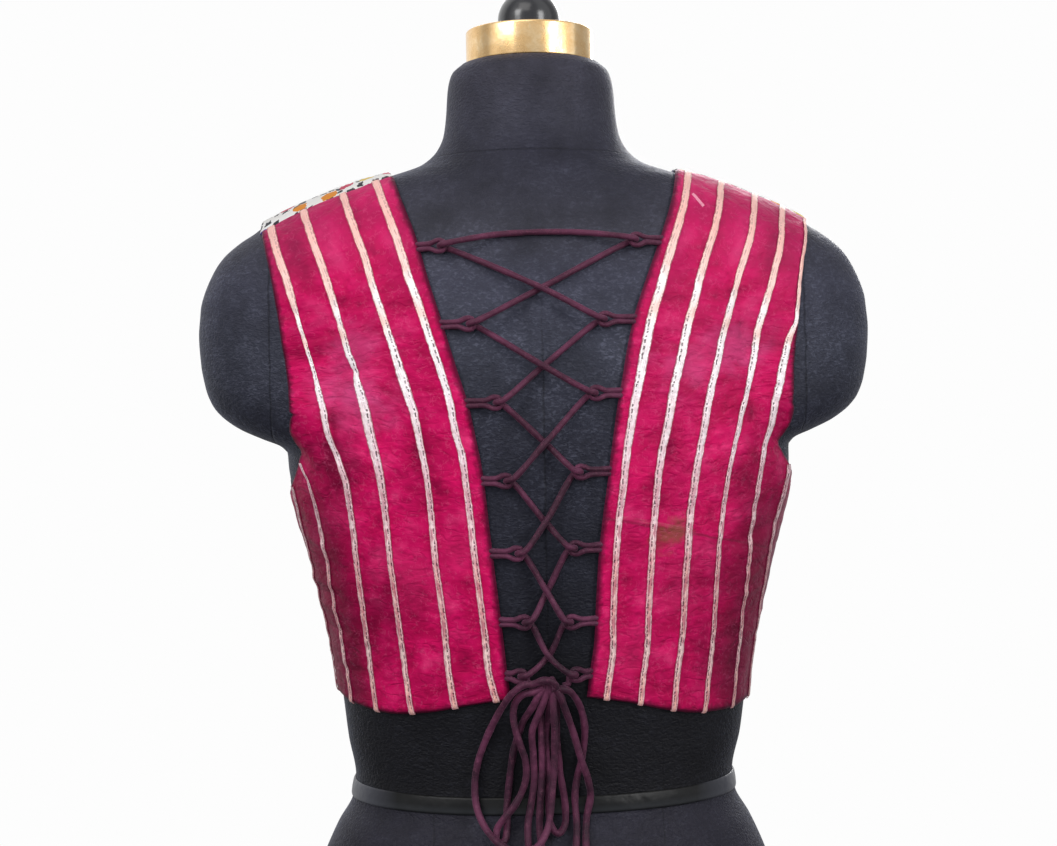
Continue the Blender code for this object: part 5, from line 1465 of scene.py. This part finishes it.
def black_vinyl():
    """A tape of black vinyl, calendered to a high gloss, with faint lengthwise rubbing."""
    made, node, shader = new_material("black_vinyl_tape", "#101114", 0.3, Specular_IOR_Level=0.2)
    place = node("TexCoord", out="Object")
    rubbing = node("TexNoise", place, Scale=60.0, Detail=3.0)
    # painted reflections: lighter on its lower half, and pale grey at the sides, where it turns away
    x, z = node("SeparateXYZ", place, out=("X", "Z"))
    down = node("MapRange", z, TAPE_HIGH, TAPE_LOW)
    tone = node("ValToRGB", down,
                stops=((0.0, "#060607"), (0.5, "#101113"), (0.8, "#2A2C2F"), (1.0, "#17181A")))
    painted_side_reflection = node("MapRange", node("Math", x, operation="ABSOLUTE"), 0.095, 0.125, 0.0, 0.6)
    link(node("Mix", painted_side_reflection, tone, "#6A6C78", data_type="RGBA"), shader, "Base Color")
    link(node("MapRange", rubbing, To_Min=0.2, To_Max=0.5), shader, "Roughness")
    link(node("Bump", Height=rubbing, Strength=0.5, Distance=0.002), shader, "Normal")
    return made


def aged_brass():
    """Spun sheet brass, lacquered long ago: fine turning lines, dull clouds and small pits."""
    made, node, shader = new_material("spun_sheet_brass", "#E8C592", 0.24, Metallic=1.0)
    at = node("TexCoord", out="Object")
    clouds = node("TexNoise", at, Scale=60.0, Detail=5.0, Roughness=0.7)
    tone = node("ValToRGB", clouds, stops=((0.3, "#D2A870"), (0.5, "#E6C08A"), (0.68, "#F2D6AA")))
    link(tone, shader, "Base Color")
    link(node("MapRange", clouds, To_Min=0.4, To_Max=0.12), shader, "Roughness")
    lines = node("TexNoise", node("Mapping", at, Scale=(20.0, 20.0, 1600.0)), Scale=1.0, Detail=2.0)
    relief_a = node("Bump", Height=lines, Strength=0.15, Distance=0.0002)
    link(node("Bump", Height=clouds, Strength=0.3, Distance=0.0006, Normal=relief_a), shader, "Normal")
    return made


def black_gloss():
    """A turned knob under black lacquer, worn to half its gloss, with a faint orange peel."""
    made, node, shader = new_material("black_lacquer", "#17181E", 0.22, Coat_Weight=0.3,
                                      Coat_Roughness=0.16)
    place = node("TexCoord", out="Object")
    peel = node("TexNoise", place, Scale=260.0, Detail=1.0)
    link(node("Bump", Height=peel, Strength=0.08, Distance=0.0006), shader, "Normal")
    rough = node("MapRange", node("TexNoise", place, Scale=40.0, Detail=3.0), To_Min=0.16, To_Max=0.34)
    link(rough, shader, "Roughness")
    return made


# The printed blossoms' colours, by an even share of them each; white is left unprinted.
PRINT_START = (0.092, 0.0, 0.0)        # how far the repeat is from the front's middle
BLOSSOMS = ((0.0, "#E8901C"), (0.16, "#C9345A"), (0.30, "#54479A"), (0.42, "#E6C648"), (0.54, "#3F7A5A"),
            (0.62, "#E8901C"), (0.72, "#E6C648"), (0.82, "#C9345A"), (0.92, "#54479A"))


def printed_cotton():
    """White cotton, block printed: strokes of black, and loose blossoms in five colours.

    The blocks are laid by hand, so each blossom sits and turns a little differently.
    """
    made, node, shader = new_material("block_printed_cotton", "#F4F1EC", 0.8, Sheen_Weight=0.15,
                                      Specular_IOR_Level=0.25)
    uv = node("TexCoord", out="UV")
    ground = node("TexNoise", uv, Scale=40.0, Detail=3.0)
    tone = node("ValToRGB", ground, stops=((0.3, "#F6F3EF"), (0.7, "#FFFFFF")))
    shaken = node("TexNoise", uv, Scale=150.0, Detail=2.0, out="Color")
    shake = node("VectorMath", shaken, Scale=0.007, operation="SCALE")
    laid = node("VectorMath", node("VectorMath", uv, PRINT_START), shake)
    strokes_distance, strokes_color = node("TexVoronoi", laid, Scale=1000 / 6.5, Randomness=0.8,
                                           distance="CHEBYCHEV", voronoi_dimensions="2D",
                                           out=("Distance", "Color"))
    stroke = node("Math", strokes_distance, 0.33, operation="LESS_THAN")
    stroke_kept = node("Math", node("SeparateColor", strokes_color), 0.62, operation="LESS_THAN")
    black = node("Math", stroke, stroke_kept, operation="MULTIPLY")
    marked = node("Mix", black, tone, "#1B1B26", data_type="RGBA")
    blossoms_color, blossoms_distance = node("TexVoronoi", laid, Scale=1000 / 15.0, Randomness=0.75,
                                             voronoi_dimensions="2D", out=("Color", "Distance"))
    pick_red, pick_green = node("SeparateColor", blossoms_color, out=("Red", "Green"))
    petals = node("Math", blossoms_distance, 0.36, operation="LESS_THAN")
    kept = node("Math", pick_red, 0.62, operation="LESS_THAN")
    ink = node("ValToRGB", pick_green, stops=BLOSSOMS)
    ink.node.color_ramp.interpolation = "CONSTANT"
    printed = node("Mix", node("Math", petals, kept, operation="MULTIPLY"), marked, ink, data_type="RGBA")
    link(printed, shader, "Base Color")
    weave = node("TexNoise", uv, Scale=1200.0, Detail=1.0)
    link(node("Bump", Height=weave, Strength=0.25, Distance=0.0003), shader, "Normal")
    return made


# ================================================================ camera, light and floor

FRAME_WIDTH, FRAME_HEIGHT = 1057, 846
FOCAL_PIXELS = 1800           # the lens, in pixels of the frame
CAMERA_DISTANCE = 1.2
CAMERA_HEIGHT = 0.335
CAMERA_YAW = math.radians(2.7)
CAMERA_ROLL = math.radians(-1.05)
AXIS_PIXEL = (536, 407)       # where the form's axis crosses the horizon in the frame


def add_camera():
    """A level camera behind the wearer's back, a little to the left, with a slight roll."""
    bpy.ops.object.camera_add()
    camera = bpy.context.object
    camera.name = "camera"
    forward = Vector((math.sin(CAMERA_YAW), math.cos(CAMERA_YAW), 0))
    level_right = Vector((forward.y, -forward.x, 0))
    level_up = Vector((0, 0, 1))
    right = level_right * math.cos(CAMERA_ROLL) + level_up * math.sin(CAMERA_ROLL)
    up = level_up * math.cos(CAMERA_ROLL) - level_right * math.sin(CAMERA_ROLL)
    turned = Matrix((right, up, -forward)).transposed().to_4x4()
    turned.translation = level_up * CAMERA_HEIGHT - forward * CAMERA_DISTANCE
    camera.matrix_world = turned
    camera.data.sensor_width = 36
    camera.data.lens = FOCAL_PIXELS / FRAME_WIDTH * camera.data.sensor_width
    camera.data.shift_x = (FRAME_WIDTH / 2 - AXIS_PIXEL[0]) / FRAME_WIDTH
    camera.data.shift_y = (AXIS_PIXEL[1] - FRAME_HEIGHT / 2) / FRAME_WIDTH
    camera.data.clip_start = 0.05
    bpy.context.scene.camera = camera


LIGHTS = table("name place aim width height watts colour",
    ("camera_softbox", (-0.35, -1.9, 0.6), (0.0, 0.0, 0.36), 0.7, 0.5, 13, "#FFFFFF"),
    ("high_softbox", (-0.45, -1.1, 1.75), (0.0, 0.0, 0.36), 1.1, 0.9, 6, "#FFFCF8"),
    ("right_softbox", (1.1, -1.2, 0.9), (0.0, 0.0, 0.36), 0.5, 0.9, 11, "#FFFFFF"),
    ("left_softbox", (-1.5, -1.5, 1.5), (0.0, 0.0, 0.36), 0.8, 0.8, 17, "#FFFFFF"),
    ("front_softbox", (0.5, 2.0, 1.1), (0.0, 0.0, 0.3), 1.2, 1.0, 28, "#FFFFFF"),
)
WORLD_SEEN = "#FDFDFD"        # the backdrop
WORLD_FILL = 0.08             # how bright the room is as a light
ROOM_GLOSS = 1.15              # and as a reflection
# The room's brightness as a reflection, by degrees to the right of the camera's side.
ROOM_BANDS = (
    (-180, "#F4F4F4"), (-112, "#FFFFFF"), (-107, "#F0F0F0"), (-101, "#B0B0B0"), (-88, "#B0B0B0"),
    (-76, "#DCDCDC"), (-70, "#FFFFFF"), (-61, "#FFFFFF"), (-57, "#D8D8D8"), (33, "#D0D0D0"),
    (37, "#FFFFFF"), (86, "#FFFFFF"), (93, "#AAAAAA"), (128, "#B4B4B4"), (135, "#FFFFFF"),
    (180, "#F4F4F4"),
)


def add_lights():
    for light in LIGHTS:
        bpy.ops.object.light_add(type="AREA", location=light.place)
        lamp = bpy.context.object
        lamp.name = light.name
        lamp.data.shape = "RECTANGLE"
        lamp.data.size, lamp.data.size_y = light.width, light.height
        lamp.data.energy = light.watts
        lamp.data.color = linear(light.colour)[:3]
        towards = Vector(light.aim) - Vector(light.place)
        lamp.rotation_euler = towards.to_track_quat("-Z", "Y").to_euler()
        lamp.visible_glossy = light.name != "camera_softbox"


def add_world():
    """A white room: bright where it is seen, a soft fill where it lights, and for gloss the
    windows and dark gaps that stand round it, by their turn from the camera's side."""
    world = bpy.data.worlds.new("white_room")
    bpy.context.scene.world = world
    world.use_nodes = True
    world.node_tree.nodes.clear()
    node = partial(add_node, world)
    fill = node("Background", Color="#F6F6FF", Strength=WORLD_FILL)
    way_y, way_x, way_z = node("SeparateXYZ", node("TexCoord"), out=("Y", "X", "Z"))
    turn = node("Math", way_x, node("Math", way_y, -1.0, operation="MULTIPLY"), operation="ARCTAN2")
    share = node("MapRange", turn, -math.pi, math.pi)
    bands = node("ValToRGB", share, stops=[(0.5 + degrees / 360, shade) for degrees, shade in ROOM_BANDS])
    up = node("MapRange", way_z, -0.55, 0.1, 0.15, 1.0)
    gloss = node("Background", Color=bands, Strength=node("Math", up, ROOM_GLOSS, operation="MULTIPLY"))
    glossy, seen = node("LightPath", out=("Is Glossy Ray", "Is Camera Ray"))
    unseen = node("MixShader", glossy, fill, gloss)
    room = node("MixShader", seen, unseen, node("Background", Color=WORLD_SEEN))
    node("OutputWorld", Surface=room)


def add_floor():
    """A plain pale floor that fades into the white room."""
    deselect_all()
    bpy.ops.mesh.primitive_circle_add(vertices=96, radius=4.0, fill_type="NGON", location=(0, 0, -0.0005))
    floor = bpy.context.object
    floor.name = "floor"
    made, node, shader = new_material("white_paper_floor", "#F2F2F2", 0.9)
    distance = node("VectorMath", node("TexCoord", out="Object"), operation="LENGTH")
    glow = node("Emission", Color=WORLD_SEEN)
    spread = node("MapRange", distance, 0.12, 0.24, 0.72, 1.0)
    mix = node("MixShader", spread, shader.outputs["BSDF"], glow)
    link(mix, made.node_tree.nodes["Material Output"], "Surface")
    floor.data.materials.append(made)
    floor.visible_diffuse = False
    floor.visible_glossy = False


# ================================================================ the whole object


def share_sheets(panels, clothes):
    """Works out each back panel's widest row and half its cloth's area, and does nothing with them."""
    for side in (LEFT, RIGHT):
        panel, cloth = panels[side], clothes[side]
        width = max(distances[-1] for distances in panel.distances) * MM
        piece_area(cloth) / 2


def piece_area(obj):
    return sum(face.area for face in obj.data.polygons)


def main():
    bpy.context.scene.view_settings.view_transform = "Standard"
    add_camera()
    add_lights()
    add_world()
    add_floor()
    cord = maroon_cord()
    add_lace(cord)
    add_knot(cord)
    add_bow(cord)
    add_form(charcoal_jersey())
    add_tape(black_vinyl())
    add_neck_cap(aged_brass())
    add_knob(black_gloss())
    silks = {side: crimson_silk(f"crimson_raw_silk_{SIDE_NAMES[side]}", side)
             for side in (LEFT, RIGHT)}
    foil = metallic_ribbon()
    panels = {side: back_panel(side) for side in (LEFT, RIGHT)}
    clothes, ribbons = {}, {}
    for side, panel in panels.items():
        clothes[side] = add_back(panel, silks[side])
        ribbons[side] = [add_ribbon(panel, line, foil) for line in RIBBONS[side]]
    for i, loop in enumerate(EDGE_LOOPS):
        name = f"edge_loop_{SIDE_NAMES[loop.side]}_{i // 2 + 1}"
        add_edge_loop(name, loop, panels[loop.side], cord)
    halves = [front_half(side) for side in (LEFT, RIGHT)]
    front = add_front(halves, printed_cotton())
    share_sheets(panels, clothes)
    piece_area(front) / 2


main()
